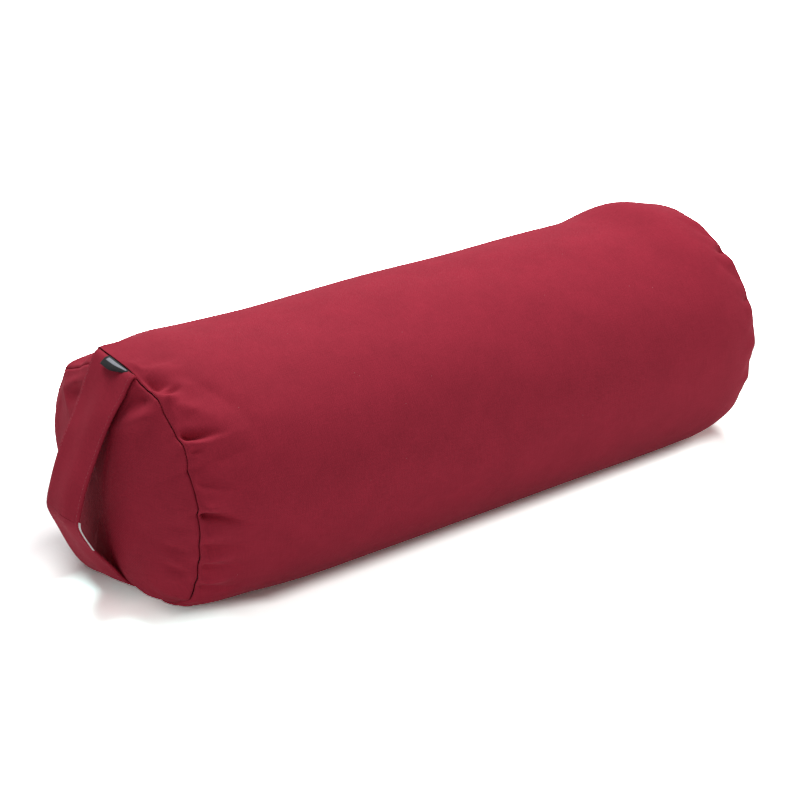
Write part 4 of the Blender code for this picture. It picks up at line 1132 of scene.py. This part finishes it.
def strap_shape(along, across):
    """A lengthwise ridge, slow waves and a turn of the lower end, for a strap that hangs free."""
    share = across / (STRAP_WIDTH / 2)
    low, high = STRAP_FREE
    free = smooth_step((along - low) / STRAP_FREE_FADE) * smooth_step((high - along) / STRAP_FREE_FADE)
    ridge = 2.4 * MM * np.exp(-(((share + 0.25) / 0.55) ** 2)) - 1.2 * MM
    wave = 0.5 * MM * np.sin(along * 60 + across * 55) + 0.35 * MM * np.sin(along * 105 - across * 90 + 1)
    turned = STRAP_TURN * smooth_step((along - STRAP_TURN_FROM) / STRAP_TURN_FADE) * (0.5 + 0.5 * share)
    return (ridge + wave) * free + turned


def strap_warp(along, across):
    """The strap's top follows its tilted seam, and widens there towards its near edge."""
    top = 1 - smooth_step((along - 0.01) / 0.07)
    wider = np.where(across < 0, 0.16 * across, 0.02 * across) * top
    return np.stack(np.broadcast_arrays(wider, (STRAP_TILT * across - STRAP_DROP) * top), -1)


def make_strap(material, stitches):
    """The strap in two pieces that meet at its belly, each with a line of stitches along both edges."""
    look = bpy.context.scene.bolster_strap
    path, lengths = smooth_path(np.array(STRAP_PATH) * MM, 2.5 * MM)
    belly = int(np.argmin(path[:, 0]))
    half = look.width / 2
    pieces = []
    upper = ("strap_upper", slice(None, belly + 1), slice(3, None))
    lower = ("strap_lower", slice(belly, None), slice(None, -4))
    for name, part, sewn in (upper, lower):
        piece, normal = make_band(name, path[part], lengths[part], STRAP_Y, half, look.thickness / 2,
                                  strap_shape, material, strap_warp)
        lines = []
        for across in (look.stitch_inset - half, half - look.stitch_inset):
            lift = strap_shape(lengths[part], across) + look.thickness / 2
            line = path[part] + normal * lift[:, None]
            moved = strap_warp(lengths[part], across)
            points = np.column_stack([line[:, 0], STRAP_Y + across + moved[:, 0], line[:, 1] + moved[:, 1]])
            lines.append(points[sewn])
        pieces += [piece, stitching(name + "_stitches", lines, stitches)]
    return pieces


SIDE_LABEL_PATH = (
    (-299.6, 205.0), (-304.6, 210.8), (-306.4, 211.8), (-308.8, 211.8), (-311.0, 211.0),
    (-313.2, 209.6), (-314.6, 208.2),
)
SIDE_LABEL_Y = -1 * MM
SIDE_LABEL_HALF = 15.5 * MM
SIDE_LABEL_THICKNESS = 1.1 * MM
PATCH_BOX = ((10.6 * MM, 13.8 * MM), (3.5 * MM, 27 * MM))  # the label's pale field on its map
PATCH_COLOUR = (0.3, 0.31, 0.35)


def label_shape(along, across):
    """The free edge of the side label, lifted off the strap in its middle."""
    free = smooth_step((along - 9 * MM) / (9 * MM))
    return free * (0.6 * MM - 1.6 * MM * (across / SIDE_LABEL_HALF) ** 2)


def make_side_label(material):
    """A folded tab that stands out of the seam on its far side and runs under it on the near side."""
    path, lengths = smooth_path(np.array(SIDE_LABEL_PATH) * MM, 0.8 * MM)
    piece, _ = make_band("side_label_cloth", path, lengths, SIDE_LABEL_Y, SIDE_LABEL_HALF,
                         SIDE_LABEL_THICKNESS / 2, label_shape, material)
    root_x, root_z = np.array(SIDE_LABEL_PATH[1]) * MM
    for vert in piece.data.vertices:
        across = (vert.co.y - SIDE_LABEL_Y) / SIDE_LABEL_HALF
        out = 0.2 + 0.8 * float(smooth_step((across + 1.1) / 1.3))
        if vert.co.x < root_x:
            vert.co.x = root_x + (vert.co.x - root_x) * out
            vert.co.z = root_z + (vert.co.z - root_z) * out
        vert.co.z += STRAP_TILT * (vert.co.y - STRAP_Y) - STRAP_DROP
    return piece


CARE_LABEL_RANGE = (67 * MM, 95 * MM)  # heights between which the care label lies
CARE_LABEL_FRONT = -320 * MM  # the strap's bow, and neither of its ends, is this far forward
CARE_LABEL_HALF = 13 * MM
CARE_LABEL_THICKNESS = 0.5 * MM
CARE_LABEL_GAP = 0.6 * MM  # behind the strap
CARE_LABEL_SHOWN = 2.2 * MM  # how much of it peeps out past the strap's near edge


def make_care_label(material):
    """A white tab behind the strap, of which only a sliver is seen."""
    look = bpy.context.scene.bolster_strap
    path, lengths = smooth_path(np.array(STRAP_PATH) * MM, 2.0 * MM)
    low, high = CARE_LABEL_RANGE
    part = (path[:, 1] > low) & (path[:, 1] < high) & (path[:, 0] < CARE_LABEL_FRONT)
    behind = look.thickness / 2 + CARE_LABEL_GAP
    middle_y = STRAP_Y - look.width / 2 - CARE_LABEL_SHOWN + CARE_LABEL_HALF
    piece, _ = make_band("care_label_cloth", path[part], lengths[part], middle_y, CARE_LABEL_HALF,
                         CARE_LABEL_THICKNESS / 2, lambda a, b: strap_shape(a, b) - behind, material)
    return piece


# Zips

OPEN_WEDGE = (244.1 * MM, 248.7 * MM)  # where the wedge of the cover's slider is when the zip is open
HEAD_NEAR = 1.3 * MM  # the waists and heads of teeth lie nearer to the chain's middle than this
# A tooth's root, waist and head: half length as a share of the pitch, then in millimetres where each
# begins and ends across the zip, and its half height
TOOTH_BLOCKS = ((0.42, 1.36, 2.9, 1.2), (0.19, -0.2, 1.5, 1.0), (0.22, -1.05, -0.1, 1.15))
TOOTH_BEVEL = 0.16 * MM
TAPE_HALF = 6.5 * MM
TAPE_THICKNESS = 0.5 * MM
TAPE_FROM_CHAIN = 3.2 * MM  # from the chain's middle to a tape's near edge
TAPE_WAVE = 0.12 * MM
TAPE_ROWS = 130
TAPE_MAP_STEP = 1.6 * MM  # round the tape, between its points on the map
HEM_PAST = 3 * MM  # how far the zip's stitches run on past the ends of its opening
STITCH_LIFT = 0.05 * MM  # out of the cloth
SIDES = ((-1, "upper"), (1, "lower"))


def zip_frame(zip_):
    """Axes of a zip: X along it, Y down across it, Z out of the bolster."""
    out = Vector((0, *zip_out(zip_)))
    along = Vector((zip_["along"], 0, 0))
    place = Matrix((along, out.cross(along), out)).transposed().to_4x4()
    place.translation = (0, zip_["y"], zip_["z"])
    return place


def make_tooth(name, place, side, pitch):
    """One tooth: a block that grips the tape's bead, and a narrower waist and head."""
    mesh = bpy.data.meshes.new(name)
    with edited(mesh) as bm:
        for half_long, near, far, half_high in TOOTH_BLOCKS:
            made = bmesh.ops.create_cube(bm, size=1.0)["verts"]
            size = (2 * half_long * pitch, (far - near) * MM, 2 * half_high * MM)
            bmesh.ops.scale(bm, vec=size, verts=made)
            bmesh.ops.translate(bm, vec=(0, side * (near + far) / 2 * MM, 0), verts=made)
        bmesh.ops.bevel(bm, geom=bm.edges[:], offset=TOOTH_BEVEL, segments=1, affect="EDGES")
        bm.transform(place)
    return linked(name, mesh)


def blocks_of(bm):
    """The separate blocks of a mesh, each as a list of its points."""
    unseen = set(bm.verts)
    while unseen:
        block, waiting = [], [unseen.pop()]
        while waiting:
            vert = waiting.pop()
            block.append(vert)
            near = {edge.other_vert(vert) for edge in vert.link_edges} & unseen
            unseen -= near
            waiting += near
        yield block


def make_room_for_wedge(row, place, low, high):
    """Takes the heads off the few teeth that the slider's wedge stands between when the zip is open."""
    to_zip = place.inverted()
    with edited(row.data) as bm:
        doomed = []
        for block in blocks_of(bm):
            xs = [vert.co.x for vert in block]
            off = sum((to_zip @ vert.co).y for vert in block) / len(block)
            if max(xs) > low and min(xs) < high and abs(off) < HEAD_NEAR:
                doomed += block
        bmesh.ops.delete(bm, geom=doomed, context="VERTS")


def make_teeth(prefix, zip_, pitch, material):
    """The two rows of teeth of a zip, half a pitch apart, repeated by Geometry Nodes."""
    made = []
    place = zip_frame(zip_)
    for side, word in SIDES:
        low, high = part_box(f"{prefix}_teeth_{word}")
        first = low.x + (pitch if side > 0 else pitch / 2)
        row = make_tooth(f"{prefix}_tooth_row_{word}", place, side, pitch)
        run_tree(row, row_tree, {"Count": int((high.x - low.x) / pitch), "Start": (first, 0.0, 0.0),
                                 "Step": (pitch, 0.0, 0.0), "Finish": material})
        if prefix == "cover_zip":
            make_room_for_wedge(row, place, *OPEN_WEDGE)
        row.data.shade_flat()
        made.append((row, f"{prefix}_teeth_{word}"))
    return made


def make_tapes(prefix, zip_, material):
    """The two tapes, with rounded selvedges and a slight wave between the stitches."""
    made = []
    place = np.array(zip_frame(zip_))
    ring = band_ring(TAPE_HALF, TAPE_THICKNESS / 2, 8, 4)
    around = np.arange(1, len(ring) + 1) * TAPE_MAP_STEP
    for side, word in SIDES:
        low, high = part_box(f"{prefix}_tape_{word}")
        xs = np.linspace(low.x, high.x, TAPE_ROWS)
        wave = TAPE_WAVE * np.sin(xs[:, None] * 240 + side) * (0.5 + ring[:, 0] / (2 * TAPE_HALF))
        down = side * (TAPE_FROM_CHAIN + TAPE_HALF + ring[:, 0])
        flat = np.stack(np.broadcast_arrays(0.0, down, ring[:, 1] + wave), -1)
        points = flat @ place[:3, :3].T + place[:3, 3]
        points[..., 0] = xs[:, None]
        piece = make_tube(f"{prefix}_tape_cloth_{word}", points, ring, xs, around, around[-1], material)
        made.append((piece, f"{prefix}_tape_{word}"))
    return made


# Copies of CAD nodes

WELD = 0.002 * MM  # nearer points than this are one
FACET_ANGLE = math.radians(2)  # flatter edges than this lie within one face
ROUNDED_ANGLE = math.radians(28)  # sharper edges than this are rounded
BAG_AXIS = 110 * MM  # height of the liner's middle
BAG_ENDS, BAG_ENDS_FADE = 262 * MM, 30 * MM  # from where the liner draws back from the gathers
BAG_NARROWER = 6.5 * MM  # how much it draws in there all round
BAG_SHORTER = LINER_ROOM + 1.5 * MM  # how far it draws back along the bolster
BAG_ZIP_WAY = Vector((0, 0.98, 0.2))  # from the bag's middle to the cover's zip
BAG_ZIP_ROOM = 3 * MM  # how far it draws in there


def node_copy(node, name, material):
    """A copy of a CAD node in a new material, with the points of its facets merged."""
    piece = linked(name, frame["nodes"][node].data.copy())
    piece.data.materials.clear()
    piece.data.materials.append(material)
    with edited(piece.data) as bm:
        bmesh.ops.remove_doubles(bm, verts=bm.verts, dist=WELD)
    return piece


def softened_copy(node, name, bevel, material):
    """A copy of a CAD node with its facets merged and its edges rounded."""
    piece = node_copy(node, name, material)
    with edited(piece.data) as bm:
        bmesh.ops.dissolve_limit(bm, angle_limit=FACET_ANGLE, verts=bm.verts, edges=bm.edges)
        sharp = [e for e in bm.edges if e.is_manifold and e.calc_face_angle(0) > ROUNDED_ANGLE]
        bmesh.ops.bevel(bm, geom=sharp, offset=bevel, segments=2, affect="EDGES", clamp_overlap=True)
        bmesh.ops.remove_doubles(bm, verts=bm.verts, dist=WELD)
        bmesh.ops.recalc_face_normals(bm, faces=bm.faces)
    shade_smooth_but(piece, 40)
    return piece


def drawn_in(place, rough):
    """Where a point of the filled bag lies: uneven, and clear of the cover's gathers, zip and dips."""
    way = place - Vector((place.x * 0.8, 0, BAG_AXIS))
    wave = math.sin(place.x * 190 + place.y * 70) * math.sin(place.z * 160 - place.y * 110)
    place = place - way.normalized() * rough * (0.5 + 0.5 * wave)
    near = float(smooth_step((abs(place.x) - BAG_ENDS) / BAG_ENDS_FADE))
    aside = Vector((0, place.y, place.z - BAG_AXIS))
    outwards = aside.normalized()
    place -= outwards * BAG_NARROWER * near * min(1.0, aside.length / (50 * MM))
    place.x -= math.copysign(BAG_SHORTER * near, place.x)
    at_zip = float(smooth_step((outwards.dot(BAG_ZIP_WAY) - 0.8) / 0.12))
    place -= outwards * BAG_ZIP_ROOM * at_zip
    if place.z > BAG_AXIS:
        place.z += min(0.0, float(top_swell(place.x, place.y - SWELL_Y)))
    return place


def soft_copy(node, name, material, cuts, rough):
    """A finer, uneven copy of a CAD sheet or mass inside the cover."""
    piece = node_copy(node, name, material)
    with edited(piece.data) as bm:
        bmesh.ops.subdivide_edges(bm, edges=bm.edges[:], cuts=cuts, use_grid_fill=True)
        bmesh.ops.triangulate(bm, faces=[f for f in bm.faces if len(f.verts) > 4])
        for vert in bm.verts:
            vert.co = drawn_in(vert.co, rough)
    shade_smooth_but(piece, 50)
    return piece


# The stage

# Lamps: place, width and height, and the setting that gives the power
LAMPS = {
    "key_light": ((0.07, 0.5, 1.7), (1.4, 1.4), "key_power"),
    "right_light": ((1.3, -1.3, 1.0), (1.2, 1.2), "right_power"),
    "left_light": ((-1.6, -0.75, 0.35), (0.8, 0.4), "left_power"),
}
LAMP_TARGET = Vector((0, 0, 0.1))
# Painted light on the floor, for the rays that see it: how pale the floor looks to the camera, against its
# own colour, and where one paleness gives way to the next, in metres from the bolster or along its axes.
# Paleness well above the floor's colour paints light into the bolster's shadow. Where there is less red
# than green and blue, the paleness paints out the red light that the cloth throws on the floor. Along the
# outline at the back the paleness drops to about the floor's own colour, and that band is a painted soft
# shadow.
PAINTED_BACK_SHADOW, PAINTED_BACK_SHADOW_FADE = (0.8, 0.8, 0.8), (0.01, 0.045)
FAR_BACK, FAR_BACK_FADE = (1.34, 1.34, 1.34), (0.05, 0.12)
LEFT, LEFT_FADE = (6.0, 9.2, 8.7), (-0.25, -0.31)
FAR_LEFT, FAR_LEFT_FADE = (1.75, 1.8, 1.8), (0.08, 0.20)
RIGHT, RIGHT_FADE = (2.8, 3.1, 3.0), (0.26, 0.32)
FAR_OFF, FAR_OFF_FADE = (8.0, 8.0, 8.0), (0.20, 0.50)
BACK_FADE = (-0.01, 0.07)
CONTACT_FADE = (0.017, 0.036)
CORE = (0.30, 0.045)  # half length and half width of the block from which distances are measured
OUTLINE = (0.295, 0.125)  # and of the one that the bolster fills as seen from above
STRAP_END = (-0.22, -0.30, 0.0, 0.036)  # how much sooner the floor gets pale past the strap
FLOOR_HALF = 6


def make_lamps(look):
    """Rectangular lamps that face the bolster."""
    for name, (place, size, power) in LAMPS.items():
        data = bpy.data.lights.new(name, "AREA")
        data.shape = "RECTANGLE"
        data.size, data.size_y = size
        data.energy = getattr(look, power)
        lamp = linked(name, data)
        lamp.location = place
        lamp.rotation_euler = (Vector(place) - LAMP_TARGET).to_track_quat("Z", "Y").to_euler()


def floor_material(look):
    """Pale floor that keeps the shadow, with painted light and a painted soft shadow only for the rays that
    see it. How pale depends on how far from the bolster a place is, so that the shadow stays as tight as the
    photograph's."""
    nodes = Nodes("pale_floor", look.floor_colour, 1.0)
    x, y = list(nodes.add("SeparateXYZ", {"Vector": nodes.place("Object")}).outputs)[:2]

    def far_from(half_length, half_width):
        """How far a place lies from a block round the middle."""
        squares = []
        for value, half in ((x, half_length), (y, half_width)):
            past = nodes.math("SUBTRACT", nodes.math("ABSOLUTE", value), half)
            squares.append(nodes.math("POWER", nodes.math("MAXIMUM", past, 0.0), 2.0))
        return nodes.math("SQRT", nodes.math("ADD", *squares))

    def fade(value, span, first, second):
        """One colour that gives way to another as a value runs through a span."""
        return nodes.blend(nodes.ramp(value, *span), first, second)

    # Painted light: the farther a place is from the bolster, the paler the floor is to the camera, which cuts
    # the real shadow short.
    reach = nodes.math("ADD", far_from(*CORE), nodes.ramp(x, *STRAP_END))
    behind = fade(reach, FAR_BACK_FADE, look.clear_back, FAR_BACK)
    # Painted soft shadow: along the outline at the back, the floor is held near its own colour.
    behind = fade(far_from(*OUTLINE), PAINTED_BACK_SHADOW_FADE, PAINTED_BACK_SHADOW, behind)
    front = fade(x, LEFT_FADE, look.clear_front, fade(reach, FAR_LEFT_FADE, LEFT, FAR_LEFT))
    front = fade(x, RIGHT_FADE, front, RIGHT)
    clear = fade(reach, FAR_OFF_FADE, fade(y, BACK_FADE, front, behind), FAR_OFF)
    # Under the bolster's edge the floor gets the least painted light, so the contact shadow stays dark there.
    seen = fade(reach, CONTACT_FADE, look.contact, clear)
    path = nodes.add("LightPath").outputs
    mirrored = nodes.math("MAXIMUM", path["Is Glossy Ray"], path["Is Transmission Ray"])
    unseen = nodes.blend(mirrored, look.floor_colour, (1.0, 1.0, 1.0))
    matte = nodes.add("BsdfDiffuse", {"Color": nodes.blend(path["Is Camera Ray"], unseen, seen)})
    nodes.tree.links.new(matte.outputs[0], nodes.tree.nodes["Material Output"].inputs["Surface"])
    return nodes.material


def make_world(look):
    """Even soft light, and white for the rays that see it."""
    world = bpy.data.worlds.new("studio")
    bpy.context.scene.world = world
    world.use_nodes = True
    tree = world.node_tree
    path = tree.nodes.new("ShaderNodeLightPath")
    strength = path.outputs["Is Camera Ray"]
    for output in ("Is Glossy Ray", "Is Transmission Ray"):
        most = tree.nodes.new("ShaderNodeMath")
        most.operation = "MAXIMUM"
        tree.links.new(strength, most.inputs[0])
        tree.links.new(path.outputs[output], most.inputs[1])
        strength = most.outputs[0]
    level = tree.nodes.new("ShaderNodeMapRange")
    tree.links.new(strength, level.inputs["Value"])
    level.inputs["To Min"].default_value = look.fill
    level.inputs["To Max"].default_value = 1.0
    back = tree.nodes["Background"]
    tree.links.new(level.outputs["Result"], back.inputs["Strength"])
    back.inputs["Color"].default_value = (1, 1, 1, 1)


# The photograph's camera, found by fitting the bolster's outline: angles, metres, and millimetres of film
CAMERA_AZIMUTH = math.radians(-38.30)
CAMERA_ELEVATION = math.radians(23.127)
CAMERA_DISTANCE = 1.781
CAMERA_TARGET = Vector((0, 0, 0.11))
SENSOR = 36.0
CAMERA_LENS = 90.12
CAMERA_SHIFT = (-0.031, -0.0191)


def make_camera():
    """The camera that sees what the photograph sees."""
    a, e = CAMERA_AZIMUTH, CAMERA_ELEVATION
    back = Vector((math.sin(a) * math.cos(e), -math.cos(a) * math.cos(e), math.sin(e)))
    data = bpy.data.cameras.new("camera")
    data.sensor_width = SENSOR
    data.lens = CAMERA_LENS
    data.shift_x, data.shift_y = CAMERA_SHIFT
    camera = linked("camera", data)
    camera.location = CAMERA_TARGET + back * CAMERA_DISTANCE
    camera.rotation_euler = back.to_track_quat("Z", "Y").to_euler()
    bpy.context.scene.camera = camera


# Sizes and colours a user may change


def slot_colour(slot):
    """The colour that the model's record gives a material slot."""
    for row in frame["record"]["materials"]:
        if row["slot"] == slot:
            return tuple(row["base_color"])
    raise ValueError("the record has no material slot " + slot)


class BolsterCoverSettings(bpy.types.PropertyGroup):
    colour: FloatVectorProperty(name="Colour", description="Colour of the cotton twill", subtype="COLOR",
                                size=3, min=0, max=1, default=slot_colour("burgundy_cotton"))
    sheen: FloatProperty(name="Sheen", description="Share of fuzz on the cloth, seen at glancing angles",
                         default=0.06, min=0, max=1, subtype="FACTOR")
    lint: FloatProperty(name="Lint", description="How clearly small specks of lint show", default=0.35,
                        min=0, max=1, subtype="FACTOR")
    twill_pitch: FloatProperty(name="Twill pitch", description="Distance between the twill's ribs",
                               default=1.1 * MM, unit="LENGTH")
    lean: FloatProperty(name="Lean", description="How far the front seam stands out on its far side",
                        default=7 * MM, unit="LENGTH")
    gather_spacing: FloatProperty(name="Gather spacing", description="Mean distance between small gathers",
                                  default=15 * MM, unit="LENGTH")
    gather_depth: FloatProperty(name="Gather depth", description="Depth of the deepest small gather",
                                default=1.9 * MM, min=0, unit="LENGTH")
    gather_reach: FloatProperty(name="Gather reach", description="How far from a seam the cloth puckers",
                                default=45 * MM, unit="LENGTH")
    seam_gap: FloatProperty(name="Seam gap", description="Width of the groove along an end seam",
                            default=1.0 * MM, unit="LENGTH")
    front_bulge: FloatProperty(name="Front bulge", default=3 * MM, unit="LENGTH",
                               description="How far the front panel swells past its crown")
    front_sag: FloatProperty(name="Front sag", description="How far the front panel hangs at its foot",
                             default=3 * MM, unit="LENGTH")
    pressure: FloatProperty(name="Pressure", description="Push of the filling on the cloth", default=4.0)
    frames: IntProperty(name="Frames", description="Steps for which the cloth settles", default=22, min=1)
    cap: FloatProperty(name="Cap", description="The most that settling may move the cloth", default=7 * MM,
                       unit="LENGTH")
    fill: FloatProperty(name="Fill", description="How tightly the bolster is filled", default=0.85, min=0,
                        max=1, subtype="FACTOR")


class BolsterStrapSettings(bpy.types.PropertyGroup):
    width: FloatProperty(name="Width", description="Width of the strap", default=STRAP_WIDTH, unit="LENGTH")
    thickness: FloatProperty(name="Thickness", description="Thickness of the folded cloth", default=2.4 * MM,
                             unit="LENGTH")
    stitch_inset: FloatProperty(name="Stitch inset", description="From the strap's edge to its stitches",
                                default=2.6 * MM, unit="LENGTH")


class BolsterZipSettings(bpy.types.PropertyGroup):
    pitch: FloatProperty(name="Pitch", description="Distance between two teeth of one row", default=2.5 * MM,
                         unit="LENGTH")
    hem: FloatProperty(name="Hem", description="From the opening's edge to its stitches", default=2.2 * MM,
                       unit="LENGTH")


class BolsterStageSettings(bpy.types.PropertyGroup):
    floor_colour: FloatVectorProperty(name="Floor colour", description="Colour of the floor", subtype="COLOR",
                                      size=3, min=0, max=1, default=(0.85, 0.85, 0.85))
    # Painted light on the floor for the camera: least under the bolster's edge, and more in front of it and
    # behind it. In front and behind there is less red than green and blue, which paints out the red light
    # from the cloth.
    contact: FloatVectorProperty(name="Contact", size=3, min=0, default=(1.3, 1.2, 1.15),
                                 description="Paleness to the camera under the bolster's edge")
    clear_front: FloatVectorProperty(name="Clear front", description="Paleness to the camera in front of it",
                                     size=3, min=0, default=(4.2, 5.4, 5.2))
    clear_back: FloatVectorProperty(name="Clear back", description="Paleness to the camera behind it",
                                    size=3, min=0, default=(2.2, 2.35, 2.3))
    fill: FloatProperty(name="Fill light", description="Strength of the even light from all sides",
                        default=0.08, min=0)
    key_power: FloatProperty(name="Key light", description="Power of the large lamp above", default=30.5,
                             unit="POWER")
    right_power: FloatProperty(name="Right light", description="Power of the lamp at the front on the right",
                               default=13.6, unit="POWER")
    left_power: FloatProperty(name="Left light", description="Power of the low lamp on the left", default=3.9,
                              unit="POWER")


def material(name, builder, *values):
    """The named material, made once."""
    return bpy.data.materials.get(name) or builder(name, *values)


def cover_cotton():
    """The twill of the cover and the strap."""
    look = bpy.context.scene.bolster_cover
    return material("cotton_twill", woven_cotton, tuple(look.colour), look.lint, look.twill_pitch)


def strap_thread():
    """The thread of every seam that shows."""
    return material("burgundy_thread", thread, shade_of(slot_colour("burgundy_cotton"), 1.06))


def zip_metal():
    """The plating of the sliders, the tab and the stops."""
    return material("zip_plating", plated_metal, slot_colour("zip_metal"))


def place_piece(piece, body, slot, *nodes):
    """Makes a piece move with a body and stand for the model's nodes that it covers."""
    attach(piece, body)
    if nodes:
        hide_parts(*nodes)


class BOLSTER_OT_cover(bpy.types.Operator):
    """Makes the cover's body and its two end panels"""

    bl_idname = "bolster.make_cover"
    bl_label = "Cover"

    def execute(self, context):
        cloth = cover_cotton()
        pieces = {
            "cover_body": make_cover_body(cloth),
            "cover_end_panel_front": make_end_panel("cover_end_cloth_front", -1, FRONT_PANEL_FORMS, cloth),
            "cover_end_panel_rear": make_end_panel("cover_end_cloth_rear", 1, REAR_PANEL_FORMS, cloth),
        }
        for node, piece in pieces.items():
            place_piece(piece, "bolster", "burgundy_cotton", node)
        return {"FINISHED"}


class BOLSTER_OT_strap(bpy.types.Operator):
    """Makes the carrying strap with its stitches"""

    bl_idname = "bolster.make_strap"
    bl_label = "Strap"

    def execute(self, context):
        upper, upper_seam, lower, lower_seam = make_strap(cover_cotton(), strap_thread())
        for piece in (upper, upper_seam):
            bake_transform(piece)
        for piece in (lower, lower_seam):
            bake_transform(piece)
        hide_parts("handle_strap_upper_end", "handle_strap_grip")
        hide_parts("handle_strap_lower_end")
        return {"FINISHED"}


class BOLSTER_OT_labels(bpy.types.Operator):
    """Makes the black side label and the white care label, both bare"""

    bl_idname = "bolster.make_labels"
    bl_label = "Labels"

    def execute(self, context):
        black = material("black_satin", satin_label, slot_colour("black_label"), PATCH_BOX, PATCH_COLOUR)
        white = material("white_satin_label", satin_label, slot_colour("white_satin"))
        place_piece(make_side_label(black), "bolster", "black_label", "side_label")
        place_piece(make_care_label(white), "strap_grip", "white_satin", "care_label")
        return {"FINISHED"}


def dress_zip(prefix, zip_, slider_body, pull_body, pitch):
    """Makes the tapes, teeth, slider, tab and stops of one zip."""
    liner = "liner_" if prefix == "liner_zip" else ""
    tape_slot, teeth_slot = liner + "zip_tape", liner + "zip_teeth"
    tape = material(tape_slot + "_weave", woven_tape, slot_colour(tape_slot))
    plastic = material(teeth_slot + "_moulding", moulded_plastic, slot_colour(teeth_slot))
    for piece, node in make_tapes(prefix, zip_, tape):
        place_piece(piece, "bolster", tape_slot, node)
    for piece, node in make_teeth(prefix, zip_, pitch, plastic):
        place_piece(piece, "bolster", teeth_slot, node)
    metal = [(prefix + "_slider", slider_body, 0.25 * MM)]
    if pull_body:
        metal.append((prefix + "_pull", pull_body, 0.2 * MM))
    stops = ("end_stop_upper", "end_stop_lower", "bottom_stop")
    metal += [(f"{prefix}_{word}", "bolster", 0.15 * MM) for word in stops]
    for node, body, bevel in metal:
        place_piece(softened_copy(node, node + "_plated", bevel, zip_metal()), body, "zip_metal", node)


class BOLSTER_OT_cover_zip(bpy.types.Operator):
    """Makes the cover's zip and the stitches that hold it"""

    bl_idname = "bolster.make_cover_zip"
    bl_label = "Cover zip"

    def execute(self, context):
        look = context.scene.bolster_zip
        dress_zip("cover_zip", COVER_ZIP, "zip_slider", "zip_pull", look.pitch)
        reach = SLOT_HALF + look.hem
        xs = np.linspace(SLOT_ENDS[0] - HEM_PAST, SLOT_ENDS[1] + HEM_PAST, 400)
        lines = [(xs, np.full(400, COVER_ZIP_PLACE + side * reach)) for side in (-1, 1)]
        for end in SLOT_ENDS:
            beyond = end + math.copysign(HEM_PAST, end)
            lines.append((np.full(12, beyond), np.linspace(-1, 1, 12) * reach + COVER_ZIP_PLACE))
        lines = [cover_surface(x, s, -STITCH_LIFT) for x, s in lines]
        seam = stitching("cover_zip_stitches", lines, strap_thread())
        place_piece(seam, "bolster", "burgundy_cotton")
        return {"FINISHED"}


class BOLSTER_OT_liner(bpy.types.Operator):
    """Makes the inner bag and its zip"""

    bl_idname = "bolster.make_liner"
    bl_label = "Liner"

    def execute(self, context):
        cloth = material("calico", calico, slot_colour("natural_calico"))
        for node in ("liner_body", "liner_end_panel_front", "liner_end_panel_rear"):
            piece = soft_copy(node, node + "_cloth", cloth, 2, 0.3 * MM)
            place_piece(piece, "bolster", "natural_calico", node)
        dress_zip("liner_zip", LINER_ZIP, "liner_slider", None, context.scene.bolster_zip.pitch)
        return {"FINISHED"}


class BOLSTER_OT_filling(bpy.types.Operator):
    """Makes the heap of husks that fills the liner"""

    bl_idname = "bolster.make_filling"
    bl_label = "Filling"

    def execute(self, context):
        husks = material("husks", husk_heap, slot_colour("buckwheat_husk"))
        piece = soft_copy("husk_filling", "husk_heap", husks, 3, 0.8 * MM)
        place_piece(piece, "bolster", "buckwheat_husk", "husk_filling")
        return {"FINISHED"}


class BOLSTER_OT_stage(bpy.types.Operator):
    """Makes the floor, the lights and the camera"""

    bl_idname = "bolster.make_stage"
    bl_label = "Stage"

    def execute(self, context):
        look = context.scene.bolster_stage
        context.scene.view_settings.view_transform = "Standard"
        corners = [(FLOOR_HALF * x, FLOOR_HALF * y, 0) for x, y in ((-1, -1), (1, -1), (1, 1), (-1, 1))]
        new_piece("floor", corners, [(0, 1, 2, 3)], None, floor_material(look))
        make_world(look)
        make_lamps(look)
        make_camera()
        return {"FINISHED"}


class BOLSTER_PT_panel(bpy.types.Panel):
    """Lists what the bolster is made of"""

    bl_idname = "BOLSTER_PT_panel"
    bl_label = "Round Yoga Bolster"
    bl_space_type = "VIEW_3D"
    bl_region_type = "UI"
    bl_category = "Bolster"

    def draw(self, context):
        column = self.layout.column()
        for operator in OPERATORS:
            column.operator(operator.bl_idname)
        for name in SETTINGS:
            settings = getattr(context.scene, name)
            column.separator()
            for key in type(settings).__annotations__:
                column.prop(settings, key)


SETTINGS = {
    "bolster_cover": BolsterCoverSettings,
    "bolster_strap": BolsterStrapSettings,
    "bolster_zip": BolsterZipSettings,
    "bolster_stage": BolsterStageSettings,
}
OPERATORS = (
    BOLSTER_OT_cover, BOLSTER_OT_strap, BOLSTER_OT_labels, BOLSTER_OT_cover_zip, BOLSTER_OT_liner,
    BOLSTER_OT_filling, BOLSTER_OT_stage,
)


def register():
    for cls in (*SETTINGS.values(), *OPERATORS, BOLSTER_PT_panel):
        bpy.utils.register_class(cls)
    for name, cls in SETTINGS.items():
        setattr(bpy.types.Scene, name, PointerProperty(type=cls))


def unregister():
    for name in SETTINGS:
        delattr(bpy.types.Scene, name)
    for cls in (BOLSTER_PT_panel, *reversed(OPERATORS), *reversed(SETTINGS.values())):
        bpy.utils.unregister_class(cls)


def main():
    register()
    bpy.ops.bolster.make_cover()
    bpy.ops.bolster.make_strap()
    bpy.ops.bolster.make_labels()
    bpy.ops.bolster.make_cover_zip()
    bpy.ops.bolster.make_liner()
    bpy.ops.bolster.make_filling()
    bpy.ops.bolster.make_stage()


if __name__ == "__main__":
    main()
